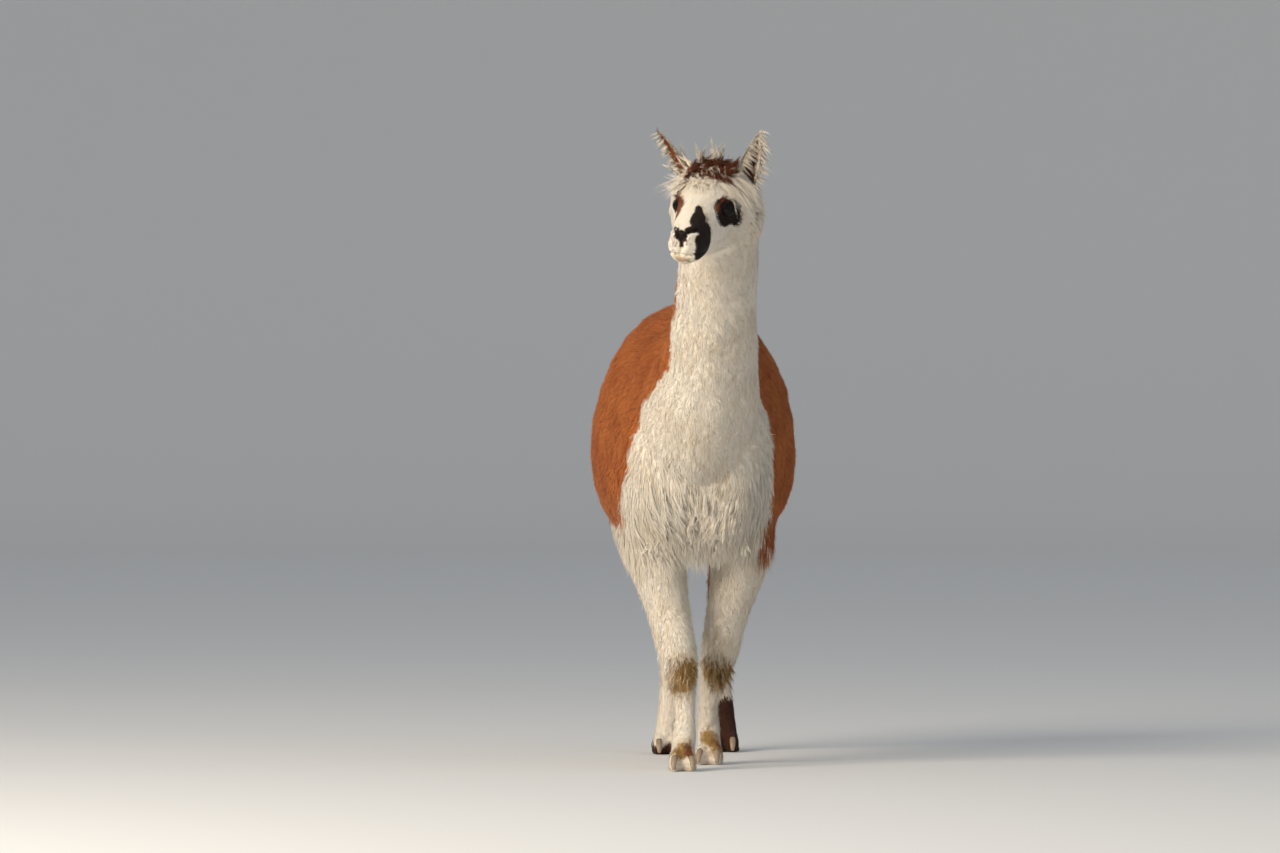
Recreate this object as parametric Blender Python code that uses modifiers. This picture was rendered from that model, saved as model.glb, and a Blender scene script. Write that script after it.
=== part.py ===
"""A life-size alpaca in mid walk, seen as a still model: the body is parted by thin cuts into named solids.

Units are metres, +Z is up, and the animal faces -Y, so its own left side is at +X. The soles stand on
z = 0. Every solid reaches to the tips of the coat. The flesh is lofted, fused, smoothed and then cut.
"""

import math
from dataclasses import dataclass

import bmesh
import bpy
import numpy as np
from mathutils import Matrix, Vector

# Driving dimensions of the trunk, coat included.
BACK_HEIGHT = 0.998
WITHERS_HEIGHT = 0.925
CROUP_HEIGHT = 0.945
CHEST_FLOOR = 0.455
BELLY_FLOOR = 0.452
FLANK_FLOOR = 0.500
BREAST_Y = -0.425
BUTTOCK_Y = 0.470
BARREL_HALF_WIDTH = 0.2235
SHOULDER_HALF_WIDTH = 0.170

# The head stands on its own axes: forward to the nose, left, and up from the line between the eyes.
HEAD_PLACE = Vector((0.022, -0.735, 1.178))
HEAD_YAW = math.radians(21)
HEAD_PITCH = math.radians(15)
HEAD_ROLL = math.radians(5)
EYE_RADIUS = 0.0185
EYE_PLACE = (0.012, 0.0505, 0.010)
ORBIT_SIZE = (0.025, 0.022, 0.020)
ORBIT_SHIFT = (0.015, 0.025, 0.000)

# The ears: a crescent blade, widest a third of the way up, partly sunk in the wool of the poll.
EAR_LENGTH = 0.132
EAR_HALF_WIDTH = 0.0270
EAR_ROOT = (-0.055, 0.069, 0.056)
EAR_BURIED = 0.16
EAR_BACK = math.radians(-4)
EAR_SPREAD = np.linspace(-1, 1, 7)
EAR_RINGS = 9
EAR_WIDEST = 0.40
EAR_CUP = 0.78
EAR_WALL = 0.0045
EAR_ROOT_WALL = 0.009
# The blade's outline as shares of its half width: at the root, gained by its widest place, and at its tip.
EAR_OUTLINE = (0.66, 0.34, 0.1)
# How late and how sharply the blade narrows, and how its hollow opens at the root and flattens to the tip.
EAR_NARROWING = (2.3, 0.8)
EAR_CUP_OPENING = (0.3, 3)
EAR_CUP_FLATTENING = 0.35
# How far up the root's thick wall reaches, how much the wall thins, and the hollow face's share and fill.
EAR_ROOT_REACH = 0.22
EAR_WALL_THINNING = 0.45
EAR_FACE = (0.96, 1.08)
# For each side, how far the ear leans out, how far its hollow turns outwards and how its tip bends.
EAR_POSE = {
    1: (math.radians(14), math.radians(22), 0.03),
    -1: (math.radians(33), math.radians(40), 0.05),
}

# Feet: two toes with a pad behind them; sizes are half sizes across, forward and up.
TOE_APART = 0.0150
TOE_SPREAD = math.radians(7)
TOE_PLACE = (0.010, 0.019)
TOE_SIZE = (0.0165, 0.040, 0.0300)
HEEL_PLACE = (-0.018, 0.019)
HEEL_SIZE = (0.0250, 0.030, 0.0260)
# A nail's rings: forward, up, half width, half depth and the slope of the ring.
NAIL = [
    (0.0190, 0.0335, 0.0050, 0.0035, 65),
    (0.0300, 0.0295, 0.0072, 0.0050, 48),
    (0.0388, 0.0205, 0.0070, 0.0048, 28),
    (0.0432, 0.0110, 0.0055, 0.0038, 14),
    (0.0450, 0.0040, 0.0030, 0.0022, 6),
]

# Cuts and clearances between neighbouring solids.
GAP = 0.0004
ELBOW_CUT = 0.446
KNEE_CUT = 0.222
FRONT_FETLOCK_CUT = 0.088
STIFLE_CUT = 0.452
HOCK_CUT = 0.292
HIND_FETLOCK_CUT = 0.096
BELOW_FLOOR = -0.1
# Each sloping cut's point and normal, and the half width, half depth and height of the block beyond it.
NECK_CUT = ((0, -0.325, 0.765), (0, -0.830, 0.558))
NECK_BLOCK = (0.4, 0.26, 0.9)
HEAD_CUT = ((0.048, -0.652, 1.142), (-0.25, -0.79, 0.56))
HEAD_BLOCK = (0.5, 0.5, 0.9)
FLOOR_BLOCK = ((-2, -2, -1), (2, 2, 0))

# Where an upright plane divides each pair of legs, and how it is turned: the striding forelegs cross.
PAIR_DIVIDE = {
    "front": ((0.010, -0.267, 0), math.radians(40)),
    "hind": ((0.0, 0.310, 0), 0.0),
}
LEG_REACH = 0.25

# How finely the flesh is fused and how many facets are kept.
RING_POINTS = 28
TAIL_POINTS = 14
NAIL_POINTS = 8
BALL_POINTS = (14, 8)
PAD_POINTS = (16, 10)
BODY_VOXEL = 0.006
HEAD_VOXEL = 0.0035
BODY_SMOOTHING = 8
HEAD_SMOOTHING = 6
BODY_TRIANGLES = 3550
HEAD_TRIANGLES = 1300

WHITE_WOOL = (0.80, 0.73, 0.62, 1.0)
CHESTNUT_WOOL = (0.42, 0.16, 0.065, 1.0)
DARK_WOOL = (0.055, 0.028, 0.020, 1.0)
EYE_BLACK = (0.012, 0.008, 0.006, 1.0)
NAIL_BROWN = (0.10, 0.075, 0.055, 1.0)


@dataclass
class TrunkSection:
    """One upright slice of the trunk: where it stands, its top and floor, and where it is widest."""

    y: float
    top: float
    floor: float
    half_width: float
    widest: float


@dataclass
class Station:
    """One ring of a limb, neck or tail: its centre and its half sizes across and fore and aft."""

    centre: tuple
    across: float
    deep: float


@dataclass
class Leg:
    """Where one leg's joints are in this stride; the toes point towards -Y, turned out by splay."""

    side: int
    top: tuple
    root: tuple
    upper: tuple
    mid: tuple
    joint: tuple
    shin: tuple
    fetlock: tuple
    foot: tuple
    splay: float


TRUNK = [
    TrunkSection(BREAST_Y, 0.750, 0.600, 0.055, 0.67),
    TrunkSection(BREAST_Y + 0.025, 0.820, 0.520, 0.112, 0.64),
    TrunkSection(BREAST_Y + 0.085, 0.885, CHEST_FLOOR + 0.010, 0.150, 0.62),
    TrunkSection(BREAST_Y + 0.175, WITHERS_HEIGHT, CHEST_FLOOR - 0.003, SHOULDER_HALF_WIDTH, 0.62),
    TrunkSection(BREAST_Y + 0.305, BACK_HEIGHT - 0.050, BELLY_FLOOR + 0.004, 0.197, 0.645),
    TrunkSection(BREAST_Y + 0.445, BACK_HEIGHT - 0.012, BELLY_FLOOR, 0.219, 0.665),
    TrunkSection(BREAST_Y + 0.575, BACK_HEIGHT, BELLY_FLOOR + 0.022, BARREL_HALF_WIDTH, 0.67),
    TrunkSection(BUTTOCK_Y - 0.200, BACK_HEIGHT - 0.018, FLANK_FLOOR - 0.018, 0.213, 0.68),
    TrunkSection(BUTTOCK_Y - 0.110, CROUP_HEIGHT, FLANK_FLOOR, 0.190, 0.69),
    TrunkSection(BUTTOCK_Y - 0.042, CROUP_HEIGHT - 0.055, FLANK_FLOOR + 0.030, 0.150, 0.70),
    TrunkSection(BUTTOCK_Y - 0.010, CROUP_HEIGHT - 0.120, FLANK_FLOOR + 0.090, 0.100, 0.70),
    TrunkSection(BUTTOCK_Y, CROUP_HEIGHT - 0.160, FLANK_FLOOR + 0.140, 0.055, 0.70),
]

NECK = [
    Station((0.002, -0.210, 0.690), 0.130, 0.165),
    Station((0.006, -0.310, 0.735), 0.136, 0.172),
    Station((0.020, -0.395, 0.800), 0.120, 0.150),
    Station((0.034, -0.468, 0.880), 0.101, 0.122),
    Station((0.041, -0.536, 0.962), 0.089, 0.104),
    Station((0.046, -0.598, 1.045), 0.085, 0.093),
    Station((0.048, -0.650, 1.115), 0.086, 0.086),
    Station((0.045, -0.688, 1.168), 0.078, 0.070),
]

TAIL = [
    Station((0.0, 0.385, 0.880), 0.026, 0.022),
    Station((0.0, 0.418, 0.872), 0.040, 0.030),
    Station((0.0, 0.450, 0.842), 0.054, 0.038),
    Station((0.0, 0.470, 0.785), 0.064, 0.042),
    Station((0.0, 0.479, 0.715), 0.060, 0.040),
    Station((0.0, 0.480, 0.655), 0.042, 0.031),
    Station((0.0, 0.479, 0.622), 0.015, 0.014),
]

# Half sizes (across, fore and aft) at a leg's top, root, upper, mid, joint, shin, fetlock and foot.
FRONT_GIRTHS = [
    (0.078, 0.120), (0.072, 0.106), (0.063, 0.084), (0.047, 0.053),
    (0.042, 0.044), (0.0235, 0.028), (0.027, 0.029), (0.025, 0.034),
]
HIND_GIRTHS = [
    (0.092, 0.170), (0.094, 0.162), (0.074, 0.122), (0.047, 0.068),
    (0.034, 0.046), (0.0245, 0.030), (0.0275, 0.031), (0.026, 0.035),
]

LEGS = {
    "front_right": Leg(
        -1,
        (-0.088, -0.245, 0.640), (-0.090, -0.268, 0.525), (-0.080, -0.292, 0.448), (-0.055, -0.325, 0.330),
        (-0.034, -0.360, 0.238), (-0.021, -0.398, 0.135), (-0.022, -0.418, 0.075), (-0.027, -0.440, 0.026),
        0.04,
    ),
    "front_left": Leg(
        1,
        (0.092, -0.250, 0.640), (0.101, -0.252, 0.525), (0.098, -0.242, 0.440), (0.073, -0.220, 0.335),
        (0.053, -0.192, 0.238), (0.032, -0.160, 0.135), (0.031, -0.140, 0.078), (0.034, -0.160, 0.026),
        0.10,
    ),
    "hind_right": Leg(
        -1,
        (-0.100, 0.270, 0.700), (-0.103, 0.235, 0.580), (-0.098, 0.232, 0.480), (-0.074, 0.290, 0.385),
        (-0.056, 0.345, 0.300), (-0.048, 0.345, 0.180), (-0.052, 0.325, 0.085), (-0.062, 0.300, 0.026),
        0.16,
    ),
    "hind_left": Leg(
        1,
        (0.100, 0.275, 0.700), (0.104, 0.250, 0.580), (0.100, 0.262, 0.480), (0.080, 0.335, 0.385),
        (0.066, 0.400, 0.305), (0.061, 0.425, 0.190), (0.067, 0.425, 0.088), (0.075, 0.405, 0.026),
        0.12,
    ),
}

# The head's slices, nose last: forward place, top, underside, half width and the height where it is widest.
HEAD = [
    (-0.132, 0.004, -0.080, 0.052, -0.035),
    (-0.112, 0.058, -0.104, 0.082, -0.032),
    (-0.078, 0.089, -0.110, 0.099, -0.030),
    (-0.042, 0.096, -0.106, 0.097, -0.022),
    (-0.012, 0.084, -0.098, 0.080, -0.008),
    (0.022, 0.062, -0.089, 0.062, -0.006),
    (0.052, 0.042, -0.082, 0.051, -0.016),
    (0.082, 0.026, -0.080, 0.0430, -0.030),
    (0.110, 0.012, -0.081, 0.0390, -0.042),
    (0.134, -0.001, -0.080, 0.0355, -0.046),
    (0.148, -0.013, -0.071, 0.028, -0.044),
    (0.155, -0.027, -0.054, 0.015, -0.041),
]


def fresh_collection(name):
    """Returns a new collection in the scene."""
    collection = bpy.data.collections.new(name)
    bpy.context.scene.collection.children.link(collection)
    return collection


def wool(name, colour, roughness=0.95):
    """Returns a plain material."""
    material = bpy.data.materials.new(name)
    material.use_nodes = True
    shader = material.node_tree.nodes["Principled BSDF"]
    shader.inputs["Base Color"].default_value = colour
    shader.inputs["Roughness"].default_value = roughness
    return material


def spline(rows, steps):
    """Joins the rows by a smooth curve through all of them, with this many rows to a span."""
    rows = np.array(rows, float)
    padded = np.vstack([2 * rows[0] - rows[1], rows, 2 * rows[-1] - rows[-2]])
    curve = []
    for i in range(len(rows) - 1):
        before, start, end, after = padded[i : i + 4]
        for t in np.arange(steps) / steps:
            curve.append(
                start
                + 0.5 * t * (end - before)
                + t * t * (before - 2.5 * start + 2 * end - 0.5 * after)
                + t**3 * (1.5 * (start - end) + 0.5 * (after - before))
            )
    return np.array(curve + [rows[-1]])


def oval(top, floor, half_width, widest, fullness=1.0, low_fullness=1.0, count=RING_POINTS):
    """The points of an egg-shaped slice as (across, up) pairs; a fullness under 1 makes that half boxier."""
    points = []
    for turn in np.arange(count) / count * 2 * math.pi:
        across, up = math.cos(turn), math.sin(turn)
        power = fullness if up > 0 else low_fullness
        reach = top - widest if up > 0 else widest - floor
        across = math.copysign(abs(across) ** power, across)
        up = math.copysign(abs(up) ** power, up)
        points.append((half_width * across, widest + reach * up))
    return points


def add_loft(bm, rings):
    """Adds a closed skin over the rings, each the same number of points, with flat end caps."""
    loops = [[bm.verts.new(point) for point in ring] for ring in rings]
    for near, far in zip(loops, loops[1:]):
        for i in range(len(near)):
            j = (i + 1) % len(near)
            bm.faces.new((near[i], near[j], far[j], far[i]))
    bm.faces.new(reversed(loops[0]))
    bm.faces.new(loops[-1])


def mesh_of(name, build):
    """Returns a mesh of triangles that build fills through a bmesh, its normals facing out.

    A piece and the hole made for it then fold along the same edges.
    """
    bm = bmesh.new()
    build(bm)
    bmesh.ops.recalc_face_normals(bm, faces=bm.faces)
    bmesh.ops.triangulate(bm, faces=bm.faces)
    mesh = bpy.data.meshes.new(name)
    bm.to_mesh(mesh)
    bm.free()
    return mesh


def trunk_rings():
    """The trunk's slices, upright and across, from breast to buttocks."""
    rows = spline([(s.y, s.top, s.floor, s.half_width, s.widest) for s in TRUNK], 3)
    return [
        [Vector((x, y, z)) for x, z in oval(top, floor, half_width, widest, 1.0, 0.78)]
        for y, top, floor, half_width, widest in rows
    ]


def tube_rings(stations, steps=4, swell=0.0, count=RING_POINTS):
    """Rings square to the line through the stations, with every half size increased by swell."""
    rows = spline([(*s.centre, s.across, s.deep) for s in stations], steps)
    centres = [Vector(row[:3]) for row in rows]
    rings = []
    for i, row in enumerate(rows):
        along = (centres[min(i + 1, len(rows) - 1)] - centres[max(i - 1, 0)]).normalized()
        side = (Vector((1, 0, 0)) - along * along.x).normalized()
        fore = along.cross(side)
        shape = oval(row[4] + swell, -row[4] - swell, row[3] + swell, 0.0, count=count)
        rings.append([centres[i] + side * x + fore * y for x, y in shape])
    return rings


def tail_rings(swell=0.0):
    """The tail's rings, from its root in the croup to its tip."""
    return tube_rings(TAIL, 2, swell, TAIL_POINTS)


def head_matrix():
    """The head's own axes (forward, left, up) placed in the world."""
    turn = Matrix.Rotation(-HEAD_YAW, 4, "Z") @ Matrix.Rotation(HEAD_PITCH, 4, "X")
    roll = Matrix.Rotation(HEAD_ROLL, 4, "Y")
    axes = Matrix(((0, 1, 0, 0), (-1, 0, 0, 0), (0, 0, 1, 0), (0, 0, 0, 1)))
    return Matrix.Translation(HEAD_PLACE) @ turn @ roll @ axes


def head_rings():
    """The head's slices from the nape to the nose, in the world."""
    place = head_matrix()
    rings = []
    for forward, top, floor, half_width, widest in spline(HEAD, 3):
        shape = oval(top, floor, half_width, widest, 0.92, 0.86)
        rings.append([place @ Vector((forward, left, up)) for left, up in shape])
    return rings


def leg_stations(leg, girths):
    """The leg's joints with their girths, from inside the trunk down to the foot."""
    joints = (leg.top, leg.root, leg.upper, leg.mid, leg.joint, leg.shin, leg.fetlock, leg.foot)
    return [Station(centre, *girth) for centre, girth in zip(joints, girths)]


def foot_matrix(leg):
    """A foot's own axes: across, forward along the toes, and up, centred on the floor."""
    turn = Matrix.Rotation(math.pi - leg.side * leg.splay, 4, "Z")
    return Matrix.Translation((leg.foot[0], leg.foot[1], 0)) @ turn


def toe_matrix(leg, inner):
    """One toe's axes, turned a little away from its neighbour."""
    place = Matrix.Translation((TOE_APART * inner, TOE_PLACE[0], 0))
    return foot_matrix(leg) @ place @ Matrix.Rotation(-TOE_SPREAD * inner, 4, "Z")


def add_sphere(bm, counts, shape):
    """Adds a ball of unit radius under this matrix, with this many points round it and up it."""
    bmesh.ops.create_uvsphere(bm, u_segments=counts[0], v_segments=counts[1], radius=1, matrix=shape)


def add_toes(bm, leg):
    """Adds a foot's two padded toes and heel, which reach below the floor until they are cut flat."""
    lift = Matrix.Translation((0, 0, TOE_PLACE[1]))
    pads = [toe_matrix(leg, inner) @ lift @ Matrix.Diagonal((*TOE_SIZE, 1)) for inner in (-1, 1)]
    pads.append(foot_matrix(leg) @ Matrix.Translation((0, *HEEL_PLACE)) @ Matrix.Diagonal((*HEEL_SIZE, 1)))
    for shape in pads:
        add_sphere(bm, PAD_POINTS, shape)


def nail_rings(leg, inner, swell=0.0):
    """The rings of one curved toenail, root first."""
    place = toe_matrix(leg, inner)
    rings = []
    for forward, up, across, deep, slope in NAIL:
        lean = math.radians(slope)
        shape = oval(deep + swell, -deep - swell, across + swell, 0.0, count=NAIL_POINTS)
        rings.append(
            [place @ Vector((x, forward + z * math.cos(lean), up + z * math.sin(lean))) for x, z in shape]
        )
    return rings


def ear_rings(side):
    """Crescent slices of one ear, from its root in the head to its tip, hollow side outwards."""
    splay, turn, curl = EAR_POSE[side]
    at_root, gained, at_tip = EAR_OUTLINE
    late, sharp = EAR_NARROWING
    opens_from, opens_by = EAR_CUP_OPENING
    share, fill = EAR_FACE
    root = Vector((EAR_ROOT[0], side * EAR_ROOT[1], EAR_ROOT[2]))
    lean = Matrix.Rotation(-side * splay, 4, "X") @ Matrix.Rotation(EAR_BACK, 4, "Y")
    place = head_matrix() @ Matrix.Translation(root) @ lean @ Matrix.Rotation(side * turn, 4, "Z")
    rings = []
    for t in np.linspace(0, 1, EAR_RINGS):
        swelling = math.sin(math.pi * min(t / EAR_WIDEST, 1) / 2)
        half = EAR_HALF_WIDTH * (at_root + gained * swelling) * (1 - t**late) ** sharp
        half = max(half, at_tip * EAR_HALF_WIDTH)
        cup = EAR_CUP * half * min(opens_from + opens_by * t, 1 - EAR_CUP_FLATTENING * t)
        thick = EAR_WALL + EAR_ROOT_WALL * max(0, 1 - t / EAR_ROOT_REACH) - EAR_WALL_THINNING * EAR_WALL * t
        up = (t - EAR_BURIED) * EAR_LENGTH
        sway = curl * side * t**3 * EAR_LENGTH
        back = [(half * a, -cup * (1 - a * a)) for a in EAR_SPREAD]
        front = [(half * share * a, -cup * (1 - a * a) + thick * (fill - a * a)) for a in EAR_SPREAD[::-1]]
        rings.append([place @ Vector((y, x + sway, up)) for x, y in back + front])
    return rings


def add_ball(bm, centre, size):
    """Adds an egg with these half sizes, in the head's own axes."""
    add_sphere(bm, BALL_POINTS, head_matrix() @ Matrix.Translation(centre) @ Matrix.Diagonal((*size, 1)))


def add_block(bm, low, high, place=Matrix.Identity(4)):
    """Adds a box between two corners of the given axes."""
    low, high = Vector(low), Vector(high)
    size = Matrix.Diagonal((*(high - low), 1))
    bmesh.ops.create_cube(bm, size=1, matrix=place @ Matrix.Translation((low + high) / 2) @ size)


def facing(point, normal):
    """Axes at a point of a sloping cut: +X across the animal and +Z along the cut's normal."""
    normal = Vector(normal).normalized()
    side = (Vector((1, 0, 0)) - normal * normal.x).normalized()
    up = normal.cross(side)
    return Matrix.Translation(point) @ Matrix((side, up, normal)).transposed().to_4x4()


class Workshop:
    """Makes the flesh and cuts it into named solids."""

    def __init__(self):
        """Clears the scene and opens the collections."""
        for stale in list(bpy.data.objects):
            bpy.data.objects.remove(stale)
        self.solids = fresh_collection("alpaca")
        self.cutters = fresh_collection("cutters")
        self.cutters.hide_render = True
        self.white = wool("white_wool", WHITE_WOOL)
        self.chestnut = wool("chestnut_wool", CHESTNUT_WOOL)
        self.dark = wool("dark_wool", DARK_WOOL)
        self.eye = wool("eye_black", EYE_BLACK, 0.08)
        self.nail = wool("nail_brown", NAIL_BROWN, 0.45)

    def guide(self, name, build):
        """Returns a hidden cutter or guide."""
        obj = bpy.data.objects.new(name, mesh_of(name, build))
        obj.hide_render = True
        obj.display_type = "WIRE"
        self.cutters.objects.link(obj)
        return obj

    def settled(self, obj):
        """Returns the object's evaluated mesh as one of its own, and removes the object."""
        bpy.context.view_layer.update()
        mesh = bpy.data.meshes.new_from_object(obj.evaluated_get(bpy.context.evaluated_depsgraph_get()))
        bpy.data.objects.remove(obj)
        return mesh

    def fused(self, name, build, voxel, smoothing, triangles):
        """Returns one skin over everything that build makes, smoothed and thinned to this many facets."""
        lump = self.guide(name, build)
        remesh = lump.modifiers.new("fuse", "REMESH")
        remesh.mode = "VOXEL"
        remesh.voxel_size = voxel
        smooth = lump.modifiers.new("smooth", "SMOOTH")
        smooth.factor = 0.5
        smooth.iterations = smoothing
        mesh = self.settled(lump)
        mesh.calc_loop_triangles()
        thin = self.guide(name, lambda bm: bm.from_mesh(mesh))
        decimate = thin.modifiers.new("thin", "DECIMATE")
        decimate.ratio = triangles / len(mesh.loop_triangles)
        floor = self.guide("floor", lambda bm: add_block(bm, *FLOOR_BLOCK))
        self.cut(thin, "DIFFERENCE", floor)
        return self.settled(thin)

    def hole(self, name, build, clearance):
        """Returns a hidden cutter that stands off the shape that build makes by the clearance."""
        obj = self.guide(name, build)
        swell = obj.modifiers.new("clearance", "DISPLACE")
        swell.strength = clearance
        swell.mid_level = 0
        return obj

    def cut(self, obj, operation, other):
        """Adds one Boolean to an object."""
        boolean = obj.modifiers.new(other.name, "BOOLEAN")
        boolean.operation = operation
        boolean.object = other
        boolean.solver = "EXACT"

    def solid(self, name, mesh, material, keep=(), drop=()):
        """Returns a named solid: the mesh inside every keep block and outside every drop shape."""
        obj = bpy.data.objects.new(name, mesh.copy())
        obj.data.materials.clear()
        obj.data.materials.append(material)
        for block in keep:
            self.cut(obj, "INTERSECT", block)
        for shape in drop:
            self.cut(obj, "DIFFERENCE", shape)
        self.solids.objects.link(obj)
        return obj


def build_flesh_body(bm):
    """Adds the trunk, neck, head core and legs, overlapping, for fusing."""
    add_loft(bm, trunk_rings())
    add_loft(bm, tube_rings(NECK))
    add_loft(bm, head_rings())
    for name, leg in LEGS.items():
        girths = FRONT_GIRTHS if name.startswith("front") else HIND_GIRTHS
        add_loft(bm, tube_rings(leg_stations(leg, girths)))
        add_toes(bm, leg)


def build_flesh_head(bm):
    """Adds the head and the upper neck that it grows from."""
    add_loft(bm, head_rings())
    add_loft(bm, tube_rings(NECK[3:]))


def main():
    """Builds every solid and stands the animal over the middle of its own footprint."""
    shop = Workshop()
    body = shop.fused("flesh_body", build_flesh_body, BODY_VOXEL, BODY_SMOOTHING, BODY_TRIANGLES)
    head = shop.fused("flesh_head", build_flesh_head, HEAD_VOXEL, HEAD_SMOOTHING, HEAD_TRIANGLES)

    def block_beyond(cut, size, shift):
        """The space beyond a sloping cut, starting this far past it."""
        across, deep, high = size
        return lambda bm: add_block(bm, (-across, -deep, shift), (across, deep, high), facing(*cut))

    def leg_block(name, low, high):
        """The space of one leg between two heights, on its own side of the plane that divides the pair."""
        side = LEGS[name].side
        middle, turn = PAIR_DIVIDE[name.split("_")[0]]
        place = Matrix.Translation(middle) @ Matrix.Rotation(turn, 4, "Z")
        near, far = sorted((side * GAP / 2, side * LEG_REACH))
        return lambda bm: add_block(bm, (near, -LEG_REACH, low), (far, LEG_REACH, high), place)

    neck_room = shop.guide("neck_room", block_beyond(NECK_CUT, NECK_BLOCK, GAP / 2))
    neck_taken = shop.guide("neck_taken", block_beyond(NECK_CUT, NECK_BLOCK, -GAP / 2))
    head_room = shop.guide("head_room", block_beyond(HEAD_CUT, HEAD_BLOCK, GAP / 2))
    head_taken = shop.guide("head_taken", block_beyond(HEAD_CUT, HEAD_BLOCK, -GAP / 2))
    tail_socket = shop.guide("tail_socket", lambda bm: add_loft(bm, tail_rings(GAP)))

    legs_taken = []
    for name, leg in LEGS.items():
        front = name.startswith("front")
        top = ELBOW_CUT if front else STIFLE_CUT
        middle = KNEE_CUT if front else HOCK_CUT
        low = FRONT_FETLOCK_CUT if front else HIND_FETLOCK_CUT
        legs_taken.append(shop.guide(f"{name}_taken", leg_block(name, BELOW_FLOOR, top + GAP / 2)))
        upper_name = "forearm" if front else "thigh"
        spans = {
            f"{name}_{upper_name}": (middle + GAP / 2, top - GAP / 2),
            f"{name}_cannon": (low + GAP / 2, middle - GAP / 2),
            f"{name}_foot": (BELOW_FLOOR, low - GAP / 2),
        }
        nail_holes = [
            shop.guide(f"{name}_nail_hole", lambda bm, s=s: add_loft(bm, nail_rings(leg, s, GAP)))
            for s in (-1, 1)
        ]
        for solid_name, (bottom, ceiling) in spans.items():
            room = shop.guide(f"{solid_name}_room", leg_block(name, bottom, ceiling))
            colour = shop.dark if solid_name.endswith("foot") and not front else shop.white
            if solid_name.endswith("thigh"):
                colour = shop.chestnut
            shop.solid(solid_name, body, colour, [room], nail_holes if solid_name.endswith("foot") else ())
        for inner, word in ((-1, "a"), (1, "b")):
            mesh = mesh_of(f"{name}_nail_{word}", lambda bm: add_loft(bm, nail_rings(leg, inner)))
            shop.solid(f"{name}_nail_{word}", mesh, shop.nail)

    shop.solid("trunk", body, shop.chestnut, (), [neck_taken, tail_socket, *legs_taken])
    shop.solid("neck", body, shop.white, [neck_room], [head_taken])
    shop.solid("tail", mesh_of("tail", lambda bm: add_loft(bm, tail_rings())), shop.chestnut)

    hollows = []
    for side, word in ((1, "left"), (-1, "right")):
        centre = Vector((EYE_PLACE[0], side * EYE_PLACE[1], EYE_PLACE[2]))
        orbit = centre + Vector((ORBIT_SHIFT[0], side * ORBIT_SHIFT[1], ORBIT_SHIFT[2]))
        ball = (EYE_RADIUS,) * 3
        socket = (EYE_RADIUS + GAP,) * 3
        hollows.append(shop.guide(f"orbit_{word}", lambda bm: add_ball(bm, orbit, ORBIT_SIZE)))
        hollows.append(shop.guide(f"socket_{word}", lambda bm: add_ball(bm, centre, socket)))
        hollows.append(shop.hole(f"ear_hole_{word}", lambda bm: add_loft(bm, ear_rings(side)), 3 * GAP))
        eyeball = mesh_of(f"eye_{word}", lambda bm: add_ball(bm, centre, ball))
        ear = mesh_of(f"ear_{word}", lambda bm: add_loft(bm, ear_rings(side)))
        shop.solid(f"eye_{word}", eyeball, shop.eye)
        shop.solid(f"ear_{word}", ear, shop.white)
    shop.solid("head", head, shop.white, [head_room], hollows)
    stand_over_middle(shop.solids)


def stand_over_middle(collection):
    """Shifts every solid together, so that the middle of the whole box is at the origin."""
    bpy.context.view_layer.update()
    graph = bpy.context.evaluated_depsgraph_get()
    corners = []
    for obj in collection.objects:
        corners += [Vector(corner) for corner in obj.evaluated_get(graph).bound_box]
    middle = Vector([(min(c[i] for c in corners) + max(c[i] for c in corners)) / 2 for i in (0, 1)] + [0])
    for obj in bpy.data.objects:
        obj.location -= middle


if __name__ == "__main__":
    main()
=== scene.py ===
"""A grown alpaca in short fleece, walking: its skin, coat, eyes, nails and the studio round it.

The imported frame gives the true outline, out to the tips of the coat. One skin replaces the nodes
of flesh and lies inside them by the coat's depth. Tufts of solid mesh grow from it along the lie
of the coat, and the skin and the tufts take their markings from the same functions.
"""

import contextlib
import enum
import logging
import math
from collections.abc import Iterable, Iterator
from dataclasses import dataclass, field, replace
from typing import ClassVar

import bmesh
import bpy
import numpy as np
from mathutils import Matrix, Vector
from mathutils.bvhtree import BVHTree


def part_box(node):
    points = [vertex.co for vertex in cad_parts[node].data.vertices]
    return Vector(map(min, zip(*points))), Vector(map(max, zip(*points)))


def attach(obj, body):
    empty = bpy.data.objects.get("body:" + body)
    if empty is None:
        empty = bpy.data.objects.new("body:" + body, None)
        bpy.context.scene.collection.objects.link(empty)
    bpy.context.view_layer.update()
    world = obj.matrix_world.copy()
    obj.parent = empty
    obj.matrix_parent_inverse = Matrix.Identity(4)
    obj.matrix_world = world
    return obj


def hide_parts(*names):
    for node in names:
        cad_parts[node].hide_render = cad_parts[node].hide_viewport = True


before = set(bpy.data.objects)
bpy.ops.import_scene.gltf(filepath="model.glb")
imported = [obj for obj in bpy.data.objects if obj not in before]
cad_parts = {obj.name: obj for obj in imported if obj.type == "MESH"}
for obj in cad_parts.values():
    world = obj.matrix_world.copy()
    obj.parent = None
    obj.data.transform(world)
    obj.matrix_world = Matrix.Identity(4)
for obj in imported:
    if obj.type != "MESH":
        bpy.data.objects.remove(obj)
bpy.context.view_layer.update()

LOG = logging.getLogger("alpaca")
UV_MAP = "OFBake"
ROOT_BODY = "root"
SAME_PLACE = 1e-5
OUTSIDE = -0.1
Array = np.ndarray
Place = tuple[float, float, float]


class Region(enum.Enum):
    """The parts of the body that carry different coats."""

    HEAD = 0
    EAR = 1
    NECK = 2
    TRUNK = 3
    TAIL = 4
    UPPER_LEG = 5
    CANNON = 6
    FOOT = 7


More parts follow.
